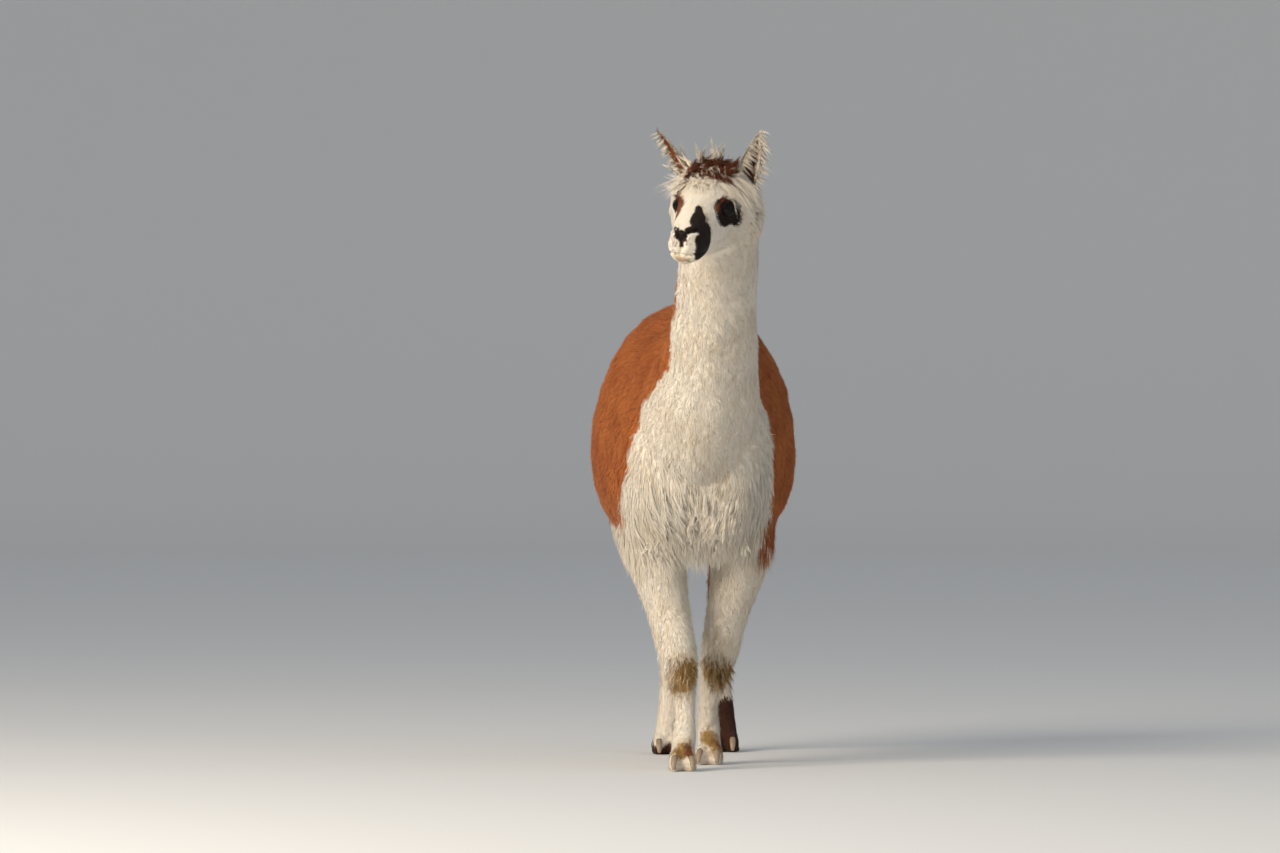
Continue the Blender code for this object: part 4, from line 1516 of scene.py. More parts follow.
@dataclass(frozen=True)
class LockGroup:
    """Long hairs in locks whose tips run together, such as a fringe, a wisp or a topknot.

    Attributes:
        name: The group's name.
        grows: Where its roots are.
        aim: The way that it grows, in the head's axes or the frame.
        length: Its shortest and longest lock.
        locks: How many locks it has.
        hairs: How many hairs are in a lock.
        on_head: Whether its places and aim are in the head's axes.
        region: The only region that it grows on, or None for any.
        lift: How far it rises off the skin.
        width: A hair's width.
        spread: How much the locks' aims differ.
        fan: How strongly the locks turn outward from the group's middle.
        sag: The share of its length by which a tip drops.
        tint: Its colour.
        rings: How many rings each hair has.
        flatten: How much of the aim off the skin is taken away, 0 to 1.
        curl: How far the locks swing sideways, as a share of their length.
        loose: How far the hairs' tips part from their lock's tip.
        edge: How far inside the group's place it reaches its full thickness.
        tone: The shades that its locks take, 0 to 1.
        gather: How far a lock's hairs may grow from its middle.
        lean: How far its hairs shade like the skin under them, 0 to 1.
    """

    name: str
    grows: tuple[Capsule, ...]
    aim: Place
    length: tuple[float, float]
    locks: int
    hairs: int
    on_head: bool = True
    region: Region | None = None
    lift: float = 0.008
    width: float = 0.0016
    spread: float = 0.25
    fan: float = 0.0
    sag: float = 0.10
    tint: Tint = Tint.OWN
    rings: int = 2
    flatten: float = 0.0
    curl: float = 0.15
    loose: float = 0.0022
    edge: float = 0.004
    tone: tuple[float, float] = (0.15, 1.0)
    gather: float = 0.012
    lean: float = 0.45

    def tufts(self, roots: Roots, seed: int) -> Tufts:
        """Grows the group from the sown roots.

        Args:
            roots: All the sown roots.
            seed: The seed of the draw.

        Returns:
            The hairs.
        """
        draw = np.random.default_rng(seed)
        places = AXES.local(roots.points) if self.on_head else roots.points
        depth = patch(places, self.grows)
        inside = depth > 0
        if self.region is not None:
            inside &= roots.weights.argmax(axis=1) == self.region.value
        found = np.flatnonzero(inside)
        chance = np.clip(depth[found] / self.edge, 0.02, 1.0)
        share = chance / chance.sum() if len(found) else None
        heads = draw.choice(found, min(self.locks, len(found)), replace=False, p=share)
        gaps = np.linalg.norm(roots.points[heads][:, None] - roots.points[found][None], axis=2)
        nearest = np.argsort(gaps, axis=1)[:, : self.hairs]
        lock, hair = np.nonzero(np.take_along_axis(gaps, nearest, axis=1) < self.gather)
        chosen = roots.chosen(found[nearest[lock, hair]])
        middle = roots.points[found].mean(axis=0)
        aim = np.array(self.aim, float)
        if self.on_head:
            aim = AXES.aimed(aim)
        away = unit(roots.points[heads] - middle) * self.fan
        aims = unit(unit(aim[None]) + away + draw.normal(0, self.spread, (len(heads), 3)))
        up = roots.normals[heads]
        aims = unit(aims - up * (self.flatten * np.sum(aims * up, axis=1, keepdims=True)))
        length = draw.uniform(*self.length, len(heads))
        tips = roots.points[heads] + aims * length[:, None]
        stretch = draw.uniform(*HAIR_LENGTHS, len(chosen))[:, None]
        run = (tips[lock] - chosen.points) * stretch + draw.normal(0, self.loose, (len(chosen), 3))
        reach = np.linalg.norm(run, axis=1)
        lift = self.lift * draw.uniform(*HAIR_LIFTS, len(chosen))
        width = self.width * draw.uniform(*HAIR_WIDTHS, len(chosen))
        shade = draw.uniform(*self.tone, len(heads))[lock]
        curl = draw.normal(0, self.curl, len(heads))[lock] + draw.normal(0, 0.05, len(chosen))
        return Tufts(
            chosen, unit(run), reach, lift, width, self.rings, reach * self.sag, shade,
            seed=seed, tint=self.tint, curl=curl, lean=self.lean,
        )


HEAD_LOCKS = (
    LockGroup(
        "topknot",
        (Capsule((-0.014, -0.052, 0.070), (-0.020, 0.044, 0.080), 0.018),
         Capsule((-0.036, -0.030, 0.086), (-0.040, 0.035, 0.086), 0.022)),
        (0.30, 0.45, 0.10), (0.020, 0.044), 120, 15,
        lift=0.010, spread=0.60, width=0.0010, tint=Tint.RUSSET, sag=0.12, rings=3,
        flatten=0.7, curl=0.60, loose=0.0022, tone=(0.0, 0.55),
    ),
    LockGroup(
        "topknot_strays",
        (Capsule((-0.014, -0.040, 0.070), (-0.020, 0.044, 0.080), 0.022),),
        (0.55, 0.35, -0.15), (0.020, 0.034), 26, 6,
        lift=0.013, spread=0.50, width=0.0009, tint=Tint.CREAM, sag=0.20, rings=3,
        flatten=0.6, curl=0.55, loose=0.0012,
    ),
    LockGroup(
        "crown_wisps",
        (Capsule((-0.050, -0.060, 0.078), (-0.054, 0.004, 0.090), 0.016),),
        (0.10, -0.10, 1.0), (0.034, 0.058), 15, 20,
        lift=0.004, spread=0.36, width=0.0012, fan=0.60, tint=Tint.CREAM, sag=0.0, rings=3,
        curl=0.50, loose=0.0009,
    ),
    LockGroup(
        "brow_left",
        (Capsule((-0.004, 0.034, 0.074), (-0.026, 0.066, 0.060), 0.014),),
        (0.04, 0.60, -0.66), (0.034, 0.080), 44, 8,
        lift=0.013, spread=0.26, width=0.0008, tint=Tint.CREAM, sag=0.30, rings=4, curl=0.42,
        loose=0.0016,
    ),
    LockGroup(
        "brow_left_drop",
        (Capsule((0.026, 0.046, 0.046), (0.002, 0.062, 0.048), 0.010),),
        (0.0, 0.70, -0.60), (0.022, 0.034), 5, 3,
        lift=0.008, spread=0.18, width=0.0006, tint=Tint.CREAM, sag=0.1, rings=4, curl=0.30,
        loose=0.0010,
    ),
    LockGroup(
        "brow_right",
        (Capsule((0.012, -0.036, 0.064), (-0.020, -0.066, 0.056), 0.015),),
        (0.20, -0.75, -0.50), (0.028, 0.056), 34, 7,
        lift=0.009, spread=0.30, width=0.0008, tint=Tint.CREAM, sag=0.35, rings=4, curl=0.40,
        loose=0.0016,
    ),
    LockGroup(
        "forehead",
        (Capsule((0.010, -0.025, 0.064), (0.008, 0.025, 0.066), 0.018),),
        (0.30, 0.10, -0.30), (0.016, 0.028), 70, 7,
        lift=0.006, spread=0.45, width=0.0012, tint=Tint.CREAM, flatten=0.7, curl=0.4,
        edge=0.010, lean=0.75,
    ),
    LockGroup(
        "cheek_left",
        (Capsule((-0.050, 0.090, 0.030), (-0.050, 0.090, -0.030), 0.030),),
        (-0.35, 0.40, -0.75), (0.016, 0.028), 80, 6,
        lift=0.006, spread=0.22, width=0.0013, flatten=0.6, curl=0.25, edge=0.012, lean=0.75,
    ),
)


def knee_locks(side: str, front: Capsule, outward: float) -> LockGroup:
    """Returns the short locks that hang off the front of a knee."""
    return LockGroup(
        f"knee_{side}", (front,), (outward, -0.22, -0.95), (0.016, 0.028), 90, 6,
        on_head=False, lift=0.007, spread=0.28, width=0.0017, edge=0.012, lean=0.75,
    )


BODY_LOCKS = (
    LockGroup(
        "chest_locks",
        (Capsule((-0.08, -0.24, 0.555), (0.05, -0.22, 0.545), 0.070),
         Capsule((-0.05, -0.25, 0.500), (0.06, -0.24, 0.500), 0.055)),
        (0.12, -0.14, -1.0), (0.034, 0.056), 250, 10,
        on_head=False, lift=0.006, spread=0.16, fan=-0.50, width=0.0022, sag=0.02, curl=0.22,
        edge=0.045, tone=(0.3, 1.0), lean=0.85,
    ),
    LockGroup(
        "chest_hem",
        (Capsule((-0.088, -0.200, 0.484), (-0.080, -0.205, 0.482), 0.018),
         Capsule((-0.080, -0.205, 0.482), (0.020, -0.200, 0.470), 0.026),
         Capsule((0.020, -0.200, 0.470), (0.094, -0.180, 0.484), 0.025)),
        (0.0, -0.35, -0.95), (0.020, 0.036), 150, 9,
        on_head=False, lift=0.010, spread=0.20, width=0.0019, sag=0.15, curl=0.20,
        edge=0.010, tone=(0.3, 1.0), lean=0.75,
    ),
    knee_locks("right", Capsule((-0.030, -0.222, 0.222), (-0.032, -0.230, 0.196), 0.036), -0.12),
    knee_locks("left", Capsule((0.048, -0.044, 0.222), (0.056, -0.034, 0.186), 0.034), 0.12),
    LockGroup(
        "tail_locks",
        (Capsule((0.0, 0.66, 0.86), (0.0, 0.68, 0.66), 0.07),),
        (0.0, 0.15, -1.0), (0.040, 0.065), 90, 6,
        on_head=False, region=Region.TAIL, lift=0.012, spread=0.18, width=0.0030,
        tint=Tint.CHESTNUT, sag=0.0, lean=0.80,
    ),
)


@dataclass
class Coat:
    """All the tufts: short wool by region, and the longer wisps, locks and fringes.

    Attributes:
        most_triangles: The most triangles that one piece may hold.
        clump: The size of the locks that the fleece gathers into.
        loose: The share of tufts that stand out from the rest.
        loose_rise: How far they stand out on the body, legs and ears.
        ear_rise: How far the ears' wool may stand out besides.
        ear_divide: The place across the body that parts the two ears.
        streak: How closely the colour varies along each axis, which draws it out down the body.
        seed: The seed of the body's draws.
        pieces: The pieces, filled in by the methods.
    """

    most_triangles: int = 190000
    clump: float = 0.024
    loose: float = 0.10
    loose_rise: Place = (0.0040, 0.0065, 0.0045)
    ear_rise: float = 0.0030
    ear_divide: float = 0.03
    streak: Place = (1.4, 1.0, 0.45)
    seed: int = 3
    pieces: list[CoatPiece] = field(default_factory=list)

    def shades(self, points: Array) -> Array:
        """Returns each tuft's place between the coat's darker and paler colours, 0 to 1."""
        draw = np.random.default_rng(self.seed + len(points))
        slow = Ripples(0.11, Seed.SHADE_SLOW).value(points) * 0.22
        locks = Ripples(0.024, Seed.SHADE_LOCKS).value(points * self.streak) * 0.26
        return np.clip(0.5 + slow + locks + draw.normal(0, 0.13, len(points)), 0, 1)

    def wool(self, roots: Roots, seed: int, rings: int) -> Tufts:
        """Makes the short wool on some roots, gathered into small locks.

        Args:
            roots: Where it grows.
            seed: The seed of its draw.
            rings: How many rings each tuft has.

        Returns:
            The tufts.
        """
        draw = np.random.default_rng(seed)
        count = len(roots)
        measures = PELT_MAP.measures(roots.points, roots.weights)
        depth, reach, width = measures[:, 0], measures[:, 1], measures[:, 2]
        plush = share_of(roots.weights, Region.TRUNK, Region.NECK)
        aims = PELT_MAP.lie(roots.points, roots.normals, roots.weights)
        stray = draw.normal(0, 1, (count, 3))
        locks = Ripples(self.clump, Seed.CLUMPS)
        fine = Ripples(self.clump * 0.4, Seed.FINE_CLUMPS)
        gather = locks.slope(roots.points) * 0.85 + fine.slope(roots.points) * 0.45
        swirls = [Ripples(0.09, Seed.SWIRL + axis).value(roots.points) for axis in range(3)]
        swirl = np.stack(swirls, axis=1)
        amount = (0.35 + 0.65 * plush)[:, None]
        aims = aims + (gather + 0.30 * swirl) * amount + stray * (0.13 + 0.05 * plush[:, None])
        aims = along_surface(aims, roots.normals)
        level = locks.value(roots.points) * 0.55 + fine.value(roots.points) * 0.45
        height = depth * (0.80 + 0.25 * level * plush + draw.uniform(-0.20, 0.20, count))
        length = reach * (0.95 + draw.uniform(-0.30, 0.30, count))
        width = width * draw.uniform(0.75, 1.25, count)
        chest = PELT_MAP.chest(roots.points, roots.weights)
        sag = chest * reach * 0.55
        leg = share_of(roots.weights, Region.UPPER_LEG, Region.CANNON)
        ear = share_of(roots.weights, Region.EAR)
        loose = np.where(draw.uniform(0, 1, count) < self.loose, draw.uniform(0.3, 1.0, count), 0.0)
        on_body, on_leg, on_ear = self.loose_rise
        height = height + loose * (on_body * plush + on_leg * leg + on_ear * ear)
        height = height + self.ear_rise * ear * draw.uniform(0.0, 1.0, count) ** 2
        curl = draw.normal(0, 0.20, count)
        return Tufts(roots, aims, length, height, width, rings, sag, seed=seed, curl=curl)

    def add(self, name: str, tufts: Tufts, unwrap: Unwrap, slot: str) -> None:
        """Adds tufts as one piece, or as several where they hold too many triangles."""
        parts = max(1, math.ceil(tufts.triangles() / self.most_triangles))
        if parts == 1:
            self.pieces.append(CoatPiece(name, tufts, unwrap, slot))
            return
        run = tufts.roots.points[:, unwrap.value[0]]
        edges = np.quantile(run, np.linspace(0, 1, parts + 1))
        for part in range(parts):
            keep = (run >= edges[part]) & (run < edges[part + 1] + (part == parts - 1))
            self.pieces.append(CoatPiece(f"{name}_{part + 1}", self.share(tufts, keep), unwrap, slot))

    @staticmethod
    def share(tufts: Tufts, keep: Array) -> Tufts:
        """Returns only the tufts that are kept."""
        names = ("aims", "reach", "height", "width", "sag", "shade", "curl")
        given = {name: getattr(tufts, name) for name in names}
        kept = {name: own[keep] for name, own in given.items() if isinstance(own, np.ndarray)}
        return replace(tufts, roots=tufts.roots.chosen(keep), **kept)

    def cover(self, roots: Roots) -> None:
        """Adds the wool over every region."""
        nearest = roots.weights.argmax(axis=1)
        left = roots.points[:, 0]
        spread = (
            ("coat_trunk", Region.TRUNK, 0, Unwrap.LENGTHWISE, "chestnut_wool"),
            ("coat_neck", Region.NECK, 0, Unwrap.UPRIGHT, "white_wool"),
            ("coat_head", Region.HEAD, 0, Unwrap.LENGTHWISE, "white_wool"),
            ("coat_tail", Region.TAIL, 2, Unwrap.UPRIGHT, "chestnut_wool"),
        )
        for name, region, rings, unwrap, slot in spread:
            chosen = roots.chosen(nearest == region.value)
            self.add(name, self.wool(chosen, self.seed + region.value, rings), unwrap, slot)
        on_leg = nearest >= Region.UPPER_LEG.value
        ear = nearest == Region.EAR.value
        for side, sign in (("left", 1), ("right", -1)):
            keep = ear & (np.sign(left - self.ear_divide) == sign)
            tufts = replace(self.wool(roots.chosen(keep), Seed.EAR_WOOL + sign, 0), lean=0.60)
            self.add(f"coat_ear_{side}", tufts, Unwrap.UPRIGHT, "white_wool")
        legs = {
            "front_left": "forearm",
            "front_right": "forearm",
            "hind_left": "thigh",
            "hind_right": "thigh",
        }
        gaps = []
        for leg, upper in legs.items():
            line = [middle_of(f"{leg}_{part}") for part in ("foot", "cannon", upper)]
            gaps.append(path_distance(roots.points, line))
        owner = np.argmin(gaps, axis=0)
        for index, (leg, upper) in enumerate(legs.items()):
            slot = "white_wool" if upper == "forearm" else "chestnut_wool"
            tufts = self.wool(roots.chosen(on_leg & (owner == index)), Seed.LEG_WOOL + index, 0)
            self.add(f"coat_{leg}_leg", tufts, Unwrap.UPRIGHT, slot)

    def ear_fringes(self, roots: Roots) -> None:
        """Adds the long hair along each ear's outer edge, and over the left ear's hollow."""
        fringes = (
            ("ear_fringe_left", "left", 1, (0.85, -0.25, -0.50), (0.010, 0.034), 64),
            ("ear_fringe_right", "right", -1, (-0.90, -0.20, -0.35), (0.008, 0.022), 54),
            ("ear_hair_left", "left", -1, (0.80, -0.35, -0.50), (0.016, 0.038), 40),
        )
        for index, (name, side, edge, aim, length, locks) in enumerate(fringes):
            root, run = PELT_MAP.ears[side]
            _, across = PELT_MAP.ear_turn(side)
            low = root + run * 0.12 + across * (0.020 * edge)
            high = root + run * 0.96 + across * (0.006 * edge)
            group = LockGroup(
                name, (Capsule(tuple(low), tuple(high), 0.0115),), aim, length, locks, 6,
                on_head=False, region=Region.EAR, lift=0.003, spread=0.22, width=0.0007,
                tint=Tint.CREAM, sag=0.25, rings=3, curl=0.28, loose=0.0012,
            )
            self.add(name, group.tufts(roots, Seed.EAR_LOCKS + index), Unwrap.UPRIGHT, "white_wool")

    def lashes(self, roots: Roots) -> None:
        """Adds the lashes along each upper lid."""
        for index, eye in enumerate(EYES):
            edge = [eye.lid_place(across, past=7.0) for across in (-48.0, -24.0, 0.0, 24.0, 48.0)]
            grows = tuple(Capsule(tuple(a), tuple(b), 0.0042) for a, b in zip(edge[:-1], edge[1:]))
            aim = eye.basis() @ np.array((1.0, 0.10, -0.10))
            group = LockGroup(
                f"lashes_{'left' if eye.side > 0 else 'right'}",
                grows, tuple(aim), (0.008, 0.013), 60, 2,
                lift=0.001, spread=0.22, width=0.0006, tint=Tint.DARK, sag=-0.10, curl=0.10,
            )
            tufts = group.tufts(roots, Seed.LASHES + index)
            if len(tufts.roots):
                self.add(group.name, tufts, Unwrap.LENGTHWISE, "dark_wool")

    def locks(self, roots: Roots) -> None:
        """Adds the wisps, fringes and locks."""
        for index, group in enumerate(HEAD_LOCKS + BODY_LOCKS):
            slot = "chestnut_wool" if group.tint is Tint.CHESTNUT else "white_wool"
            unwrap = Unwrap.LENGTHWISE if group.on_head else Unwrap.UPRIGHT
            tufts = group.tufts(roots, Seed.LOCKS + index)
            if len(tufts.roots):
                self.add(group.name, tufts, unwrap, slot)
            else:
                LOG.warning("%s: nothing grows there", group.name)

    def build(self, roots: Roots, material: bpy.types.Material) -> None:
        """Builds every piece of the coat."""
        self.cover(roots)
        self.ear_fringes(roots)
        self.lashes(roots)
        self.locks(roots)
        total = sum(piece.tufts.triangles() for piece in self.pieces)
        for piece in self.pieces:
            piece.build(self, material)
        LOG.info("coat: %d pieces, %d triangles", len(self.pieces), total)


class Shader:
    """A material's or a group's nodes, added and joined with short calls."""

    def __init__(self, tree: bpy.types.NodeTree) -> None:
        """Keeps the tree."""
        self.tree = tree

    def node(self, kind: str, **settings: object) -> bpy.types.Node:
        """Adds a node and sets its settings."""
        made = self.tree.nodes.new(kind)
        for name, value in settings.items():
            setattr(made, name, value)
        return made

    def join(self, source: bpy.types.NodeSocket, target: bpy.types.NodeSocket) -> None:
        """Links two sockets."""
        self.tree.links.new(source, target)

    def feed(self, target: bpy.types.NodeSocket, value: object) -> None:
        """Links a socket to the target, or sets the target to a plain value."""
        if isinstance(value, bpy.types.NodeSocket):
            self.join(value, target)
        else:
            target.default_value = value

    def maths(self, kind: str, *values: object) -> bpy.types.NodeSocket:
        """Adds a Math node and returns its result."""
        made = self.node("ShaderNodeMath", operation=kind)
        for socket, value in zip(made.inputs, values):
            self.feed(socket, value)
        return made.outputs[0]

    def mix(
        self, share: object, first: object, second: object, blend: str = "MIX"
    ) -> bpy.types.NodeSocket:
        """Mixes two colours."""
        made = self.node("ShaderNodeMix", data_type="RGBA", blend_type=blend)
        self.feed(made.inputs[0], share)
        self.feed(made.inputs[6], first)
        self.feed(made.inputs[7], second)
        return made.outputs[2]

    def step(self, value: object, low: float, high: float) -> bpy.types.NodeSocket:
        """Maps a value to a smooth step between low and high."""
        made = self.node("ShaderNodeMapRange", interpolation_type="SMOOTHSTEP")
        self.feed(made.inputs[0], value)
        made.inputs[1].default_value = low
        made.inputs[2].default_value = high
        return made.outputs[0]

    def noise(self, place: object, scale: float, detail: float = 2.0) -> bpy.types.NodeSocket:
        """Adds a Noise Texture and returns its grey value."""
        made = self.node("ShaderNodeTexNoise")
        self.feed(made.inputs["Vector"], place)
        made.inputs["Scale"].default_value = scale
        made.inputs["Detail"].default_value = detail
        return made.outputs[0]

    def place(self) -> bpy.types.NodeSocket:
        """Returns each point's place in the frame."""
        return self.node("ShaderNodeTexCoord").outputs["Object"]

    def read(self, name: str) -> bpy.types.NodeSocket:
        """Returns the number stored at each point under a name."""
        return self.node("ShaderNodeAttribute", attribute_name=name).outputs["Fac"]

    def relief(self, height: object, strength: float, distance: float) -> bpy.types.NodeSocket:
        """Adds a Bump node and returns its normal."""
        made = self.node("ShaderNodeBump")
        made.inputs["Strength"].default_value = strength
        made.inputs["Distance"].default_value = distance
        self.feed(made.inputs["Height"], height)
        return made.outputs[0]


class Paint(Shader):
    """A new material, with short calls for its nodes and its surface."""

    def __init__(self, name: str) -> None:
        """Starts the material."""
        self.material = bpy.data.materials.new(name)
        self.material.use_nodes = True
        super().__init__(self.material.node_tree)

    def surface(self, inputs: dict[str, object]) -> None:
        """Sets or links named inputs of the material's surface."""
        for name, value in inputs.items():
            self.feed(self.tree.nodes["Principled BSDF"].inputs[name], value)


Colour = tuple[float, float, float, float]

# The numbers stored at each point of the skin and the coat, which the wool's colour reads.
STORED = ("blanket", "dark", "umber", "rust", "stain", "tuft", "along")


@dataclass(frozen=True)
class WoolFinish:
    """The colours of the wool, in linear light.

    Attributes:
        cream: The white wool, and cream_deep its darker tufts.
        chestnut: The blanket, and chestnut_deep its darker tufts.
        black: The muzzle, eyes, and painted shade in the nostrils and mouth; black_soft its paler
            tufts.
        umber: The hind feet, and umber_soft its paler tufts.
        rust: The topknot and the dark's edges, and rust_deep its darker tufts.
        tan: The stains, and tan_deep their darker tufts.
        root_painted_shade: Painted shade: what every colour is multiplied by at a tuft's root, for the
            shade down between the tufts.
        shaded: The share of a tuft, from its root, over which that painted shade fades.
        ragged: How far a patch's edge strays, in metres.
        roughness: The wool's roughness.
        specular: How strongly it reflects.
        sheen: How strong its sheen is, and sheen_roughness how soft.
        grain: The scale of the fine bump.
    """

    cream: Colour = (0.88, 0.80, 0.68, 1.0)
    cream_deep: Colour = (0.76, 0.63, 0.46, 1.0)
    chestnut: Colour = (0.54, 0.165, 0.036, 1.0)
    chestnut_deep: Colour = (0.34, 0.085, 0.020, 1.0)
    black: Colour = (0.008, 0.006, 0.006, 1.0)
    black_soft: Colour = (0.026, 0.014, 0.010, 1.0)
    umber: Colour = (0.038, 0.016, 0.011, 1.0)
    umber_soft: Colour = (0.085, 0.033, 0.019, 1.0)
    rust: Colour = (0.27, 0.083, 0.029, 1.0)
    rust_deep: Colour = (0.060, 0.018, 0.010, 1.0)
    tan: Colour = (0.47, 0.27, 0.085, 1.0)
    tan_deep: Colour = (0.16, 0.092, 0.030, 1.0)
    root_painted_shade: Colour = (0.92, 0.89, 0.86, 1.0)
    shaded: float = 0.60
    ragged: float = 0.055
    roughness: float = 0.88
    specular: float = 0.12
    sheen: float = 0.06
    sheen_roughness: float = 0.5
    grain: float = 900.0

    def group(self) -> bpy.types.NodeTree:
        """Builds the node group that turns the markings' distances into a colour."""
        tree = bpy.data.node_groups.new("coat_colour", "ShaderNodeTree")
        face = tree.interface
        for name in STORED:
            face.new_socket(name.title(), in_out="INPUT", socket_type="NodeSocketFloat")
        face.new_socket("Place", in_out="INPUT", socket_type="NodeSocketVector")
        face.new_socket("Ragged", in_out="INPUT", socket_type="NodeSocketFloat")
        face.new_socket("Color", in_out="OUTPUT", socket_type="NodeSocketColor")
        shader = Shader(tree)
        given = shader.node("NodeGroupInput").outputs
        place = given["Place"]
        coarse = shader.noise(place, 38.0, 3.0)
        fine = shader.noise(place, 160.0, 2.0)
        blend = shader.maths("MULTIPLY_ADD", fine, 0.4, shader.maths("MULTIPLY", coarse, 0.6))
        ragged = shader.maths("MULTIPLY", shader.maths("SUBTRACT", blend, 0.5), given["Ragged"])
        wobble = shader.maths("MULTIPLY", shader.maths("SUBTRACT", given["Tuft"], 0.5), given["Ragged"])
        ragged = shader.maths("MULTIPLY_ADD", wobble, 0.25, ragged)

        def mask(name: str, share: float, soft: float) -> bpy.types.NodeSocket:
            """Returns where one patch lies, with a ragged edge."""
            return shader.step(shader.maths("MULTIPLY_ADD", ragged, share, given[name]), -soft, soft)

        tone = shader.maths("MULTIPLY_ADD", given["Tuft"], 0.75, shader.maths("MULTIPLY", coarse, 0.25))
        white = shader.mix(shader.step(tone, 0.05, 0.65), self.cream_deep, self.cream)
        brown = shader.mix(shader.step(tone, 0.15, 0.85), self.chestnut_deep, self.chestnut)
        colour = shader.mix(mask("Blanket", 1.0, 0.004), white, brown)
        stain = shader.maths("MULTIPLY", mask("Stain", 1.0, 0.011), shader.step(tone, 1.25, 0.5))
        colour = shader.mix(stain, colour, shader.mix(tone, self.tan_deep, self.tan))
        for name, share, soft, low, high in (
            ("Umber", 0.5, 0.004, self.umber, self.umber_soft),
            ("Dark", 0.22, 0.002, self.black, self.black_soft),
            ("Rust", 0.45, 0.005, self.rust_deep, self.rust),
        ):
            colour = shader.mix(mask(name, share, soft), colour, shader.mix(tone, low, high))
        full = (1.0, 1.0, 1.0, 1.0)
        # Painted shade: each tuft darkens towards its root, for the shade down between the tufts.
        shade = shader.mix(shader.step(given["Along"], 0.0, self.shaded), self.root_painted_shade, full)
        out = shader.node("NodeGroupOutput")
        shader.join(shader.mix(1.0, colour, shade, "MULTIPLY"), out.inputs["Color"])
        return tree

    def material(self, name: str, group: bpy.types.NodeTree, bump: float) -> bpy.types.Material:
        """Builds a wool material.

        Args:
            name: The material's name.
            group: The colour group.
            bump: The fine bump's strength.

        Returns:
            The material.
        """
        paint = Paint(name)
        place = paint.place()
        colour = paint.node("ShaderNodeGroup")
        colour.node_tree = group
        for stored in STORED:
            paint.join(paint.read(stored), colour.inputs[stored.title()])
        paint.join(place, colour.inputs["Place"])
        colour.inputs["Ragged"].default_value = self.ragged
        paint.surface(
            {
                "Base Color": colour.outputs["Color"],
                "Roughness": self.roughness,
                "Specular IOR Level": self.specular,
                "Sheen Weight": self.sheen,
                "Sheen Roughness": self.sheen_roughness,
                "Normal": paint.relief(paint.noise(place, self.grain, 3.0), bump, 0.001),
            }
        )
        return paint.material


@dataclass(frozen=True)
class EyeFinish:
    """A wet dark brown eye with a level pupil.

    Attributes:
        iris: The iris's colour.
        rim: The colour round the iris and of its streaks.
        pupil: The pupil's colour.
        roughness: How soft the ball's own reflection is.
        specular: How strong it is.
        wet: How strong the wet film's reflection is.
        wet_roughness: How soft that is.
    """

    iris: Colour = (0.005, 0.0025, 0.0015, 1.0)
    rim: Colour = (0.004, 0.003, 0.002, 1.0)
    pupil: Colour = (0.002, 0.002, 0.002, 1.0)
    roughness: float = 0.30
    specular: float = 0.05
    wet: float = 0.25
    wet_roughness: float = 0.03

    def material(self) -> bpy.types.Material:
        """Builds the eye's material."""
        paint = Paint("wet_eye")
        colour = paint.mix(paint.noise(paint.place(), 520.0, 4.0), self.iris, self.rim)
        colour = paint.mix(paint.step(paint.read("iris"), 0.85, 1.0), colour, self.rim)
        colour = paint.mix(paint.step(paint.read("pupil"), 1.1, 0.9), colour, self.pupil)
        paint.surface(
            {
                "Base Color": colour,
                "Roughness": self.roughness,
                "Specular IOR Level": self.specular,
                "Coat Weight": self.wet,
                "Coat Roughness": self.wet_roughness,
            }
        )
        return paint.material


@dataclass
class EyeBalls:
    """Both eyeballs, each with its cornea.

    Attributes:
        segments: How many faces go round a ball.
        rings: How many rows of faces it has.
        cornea_angles: The angles off the axis between which the cornea swells, in degrees.
        iris_angle: The iris's edge, off the axis, in degrees.
        pupil_half: The pupil's half width and half height, in degrees.
    """

    segments: int = 48
    rings: int = 32
    cornea_angles: tuple[float, float] = (40.0, 12.0)
    iris_angle: float = 42.0
    pupil_half: tuple[float, float] = (24.0, 12.0)

    def build(self, material: bpy.types.Material) -> None:
        """Builds both eyes.

        Args:
            material: The wet finish.
        """
        for eye in EYES:
            mesh = bpy.data.meshes.new(f"{eye.name()}_ball")
            with editing(mesh) as ball:
                bmesh.ops.create_uvsphere(
                    ball, u_segments=self.segments, v_segments=self.rings, radius=1.0
                )
            own = points_of(mesh)[:, [2, 0, 1]]
            away = np.degrees(np.arccos(np.clip(own[:, 0], -1, 1)))
            swell = eye.radius + eye.cornea * ramp(away, *self.cornea_angles)
            local = eye.centre() + (own * swell[:, None]) @ eye.basis().T
            put_points(mesh, AXES.placed(local))
            put_field(mesh, "iris", away / self.iris_angle)
            across = np.degrees(np.arctan2(own[:, 1], np.maximum(own[:, 0], 1e-3)))
            rise = np.degrees(np.arcsin(np.clip(own[:, 2], -1, 1)))
            wide, tall = self.pupil_half
            slit = np.sqrt((across / wide) ** 2 + (rise / tall) ** 2) + (own[:, 0] < 0) * 5.0
            put_field(mesh, "pupil", slit)
            if np.linalg.det(eye.basis()[:, [1, 2, 0]]) < 0:
                mesh.flip_normals()
            shade_smooth(mesh)
            mesh.materials.append(material)
            piece = shown(f"{eye.name()}_ball", mesh)
            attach(piece, ROOT_BODY)
            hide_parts(eye.name())
            LOG.info("%s: radius %.1f mm", piece.name, eye.radius * 1000)


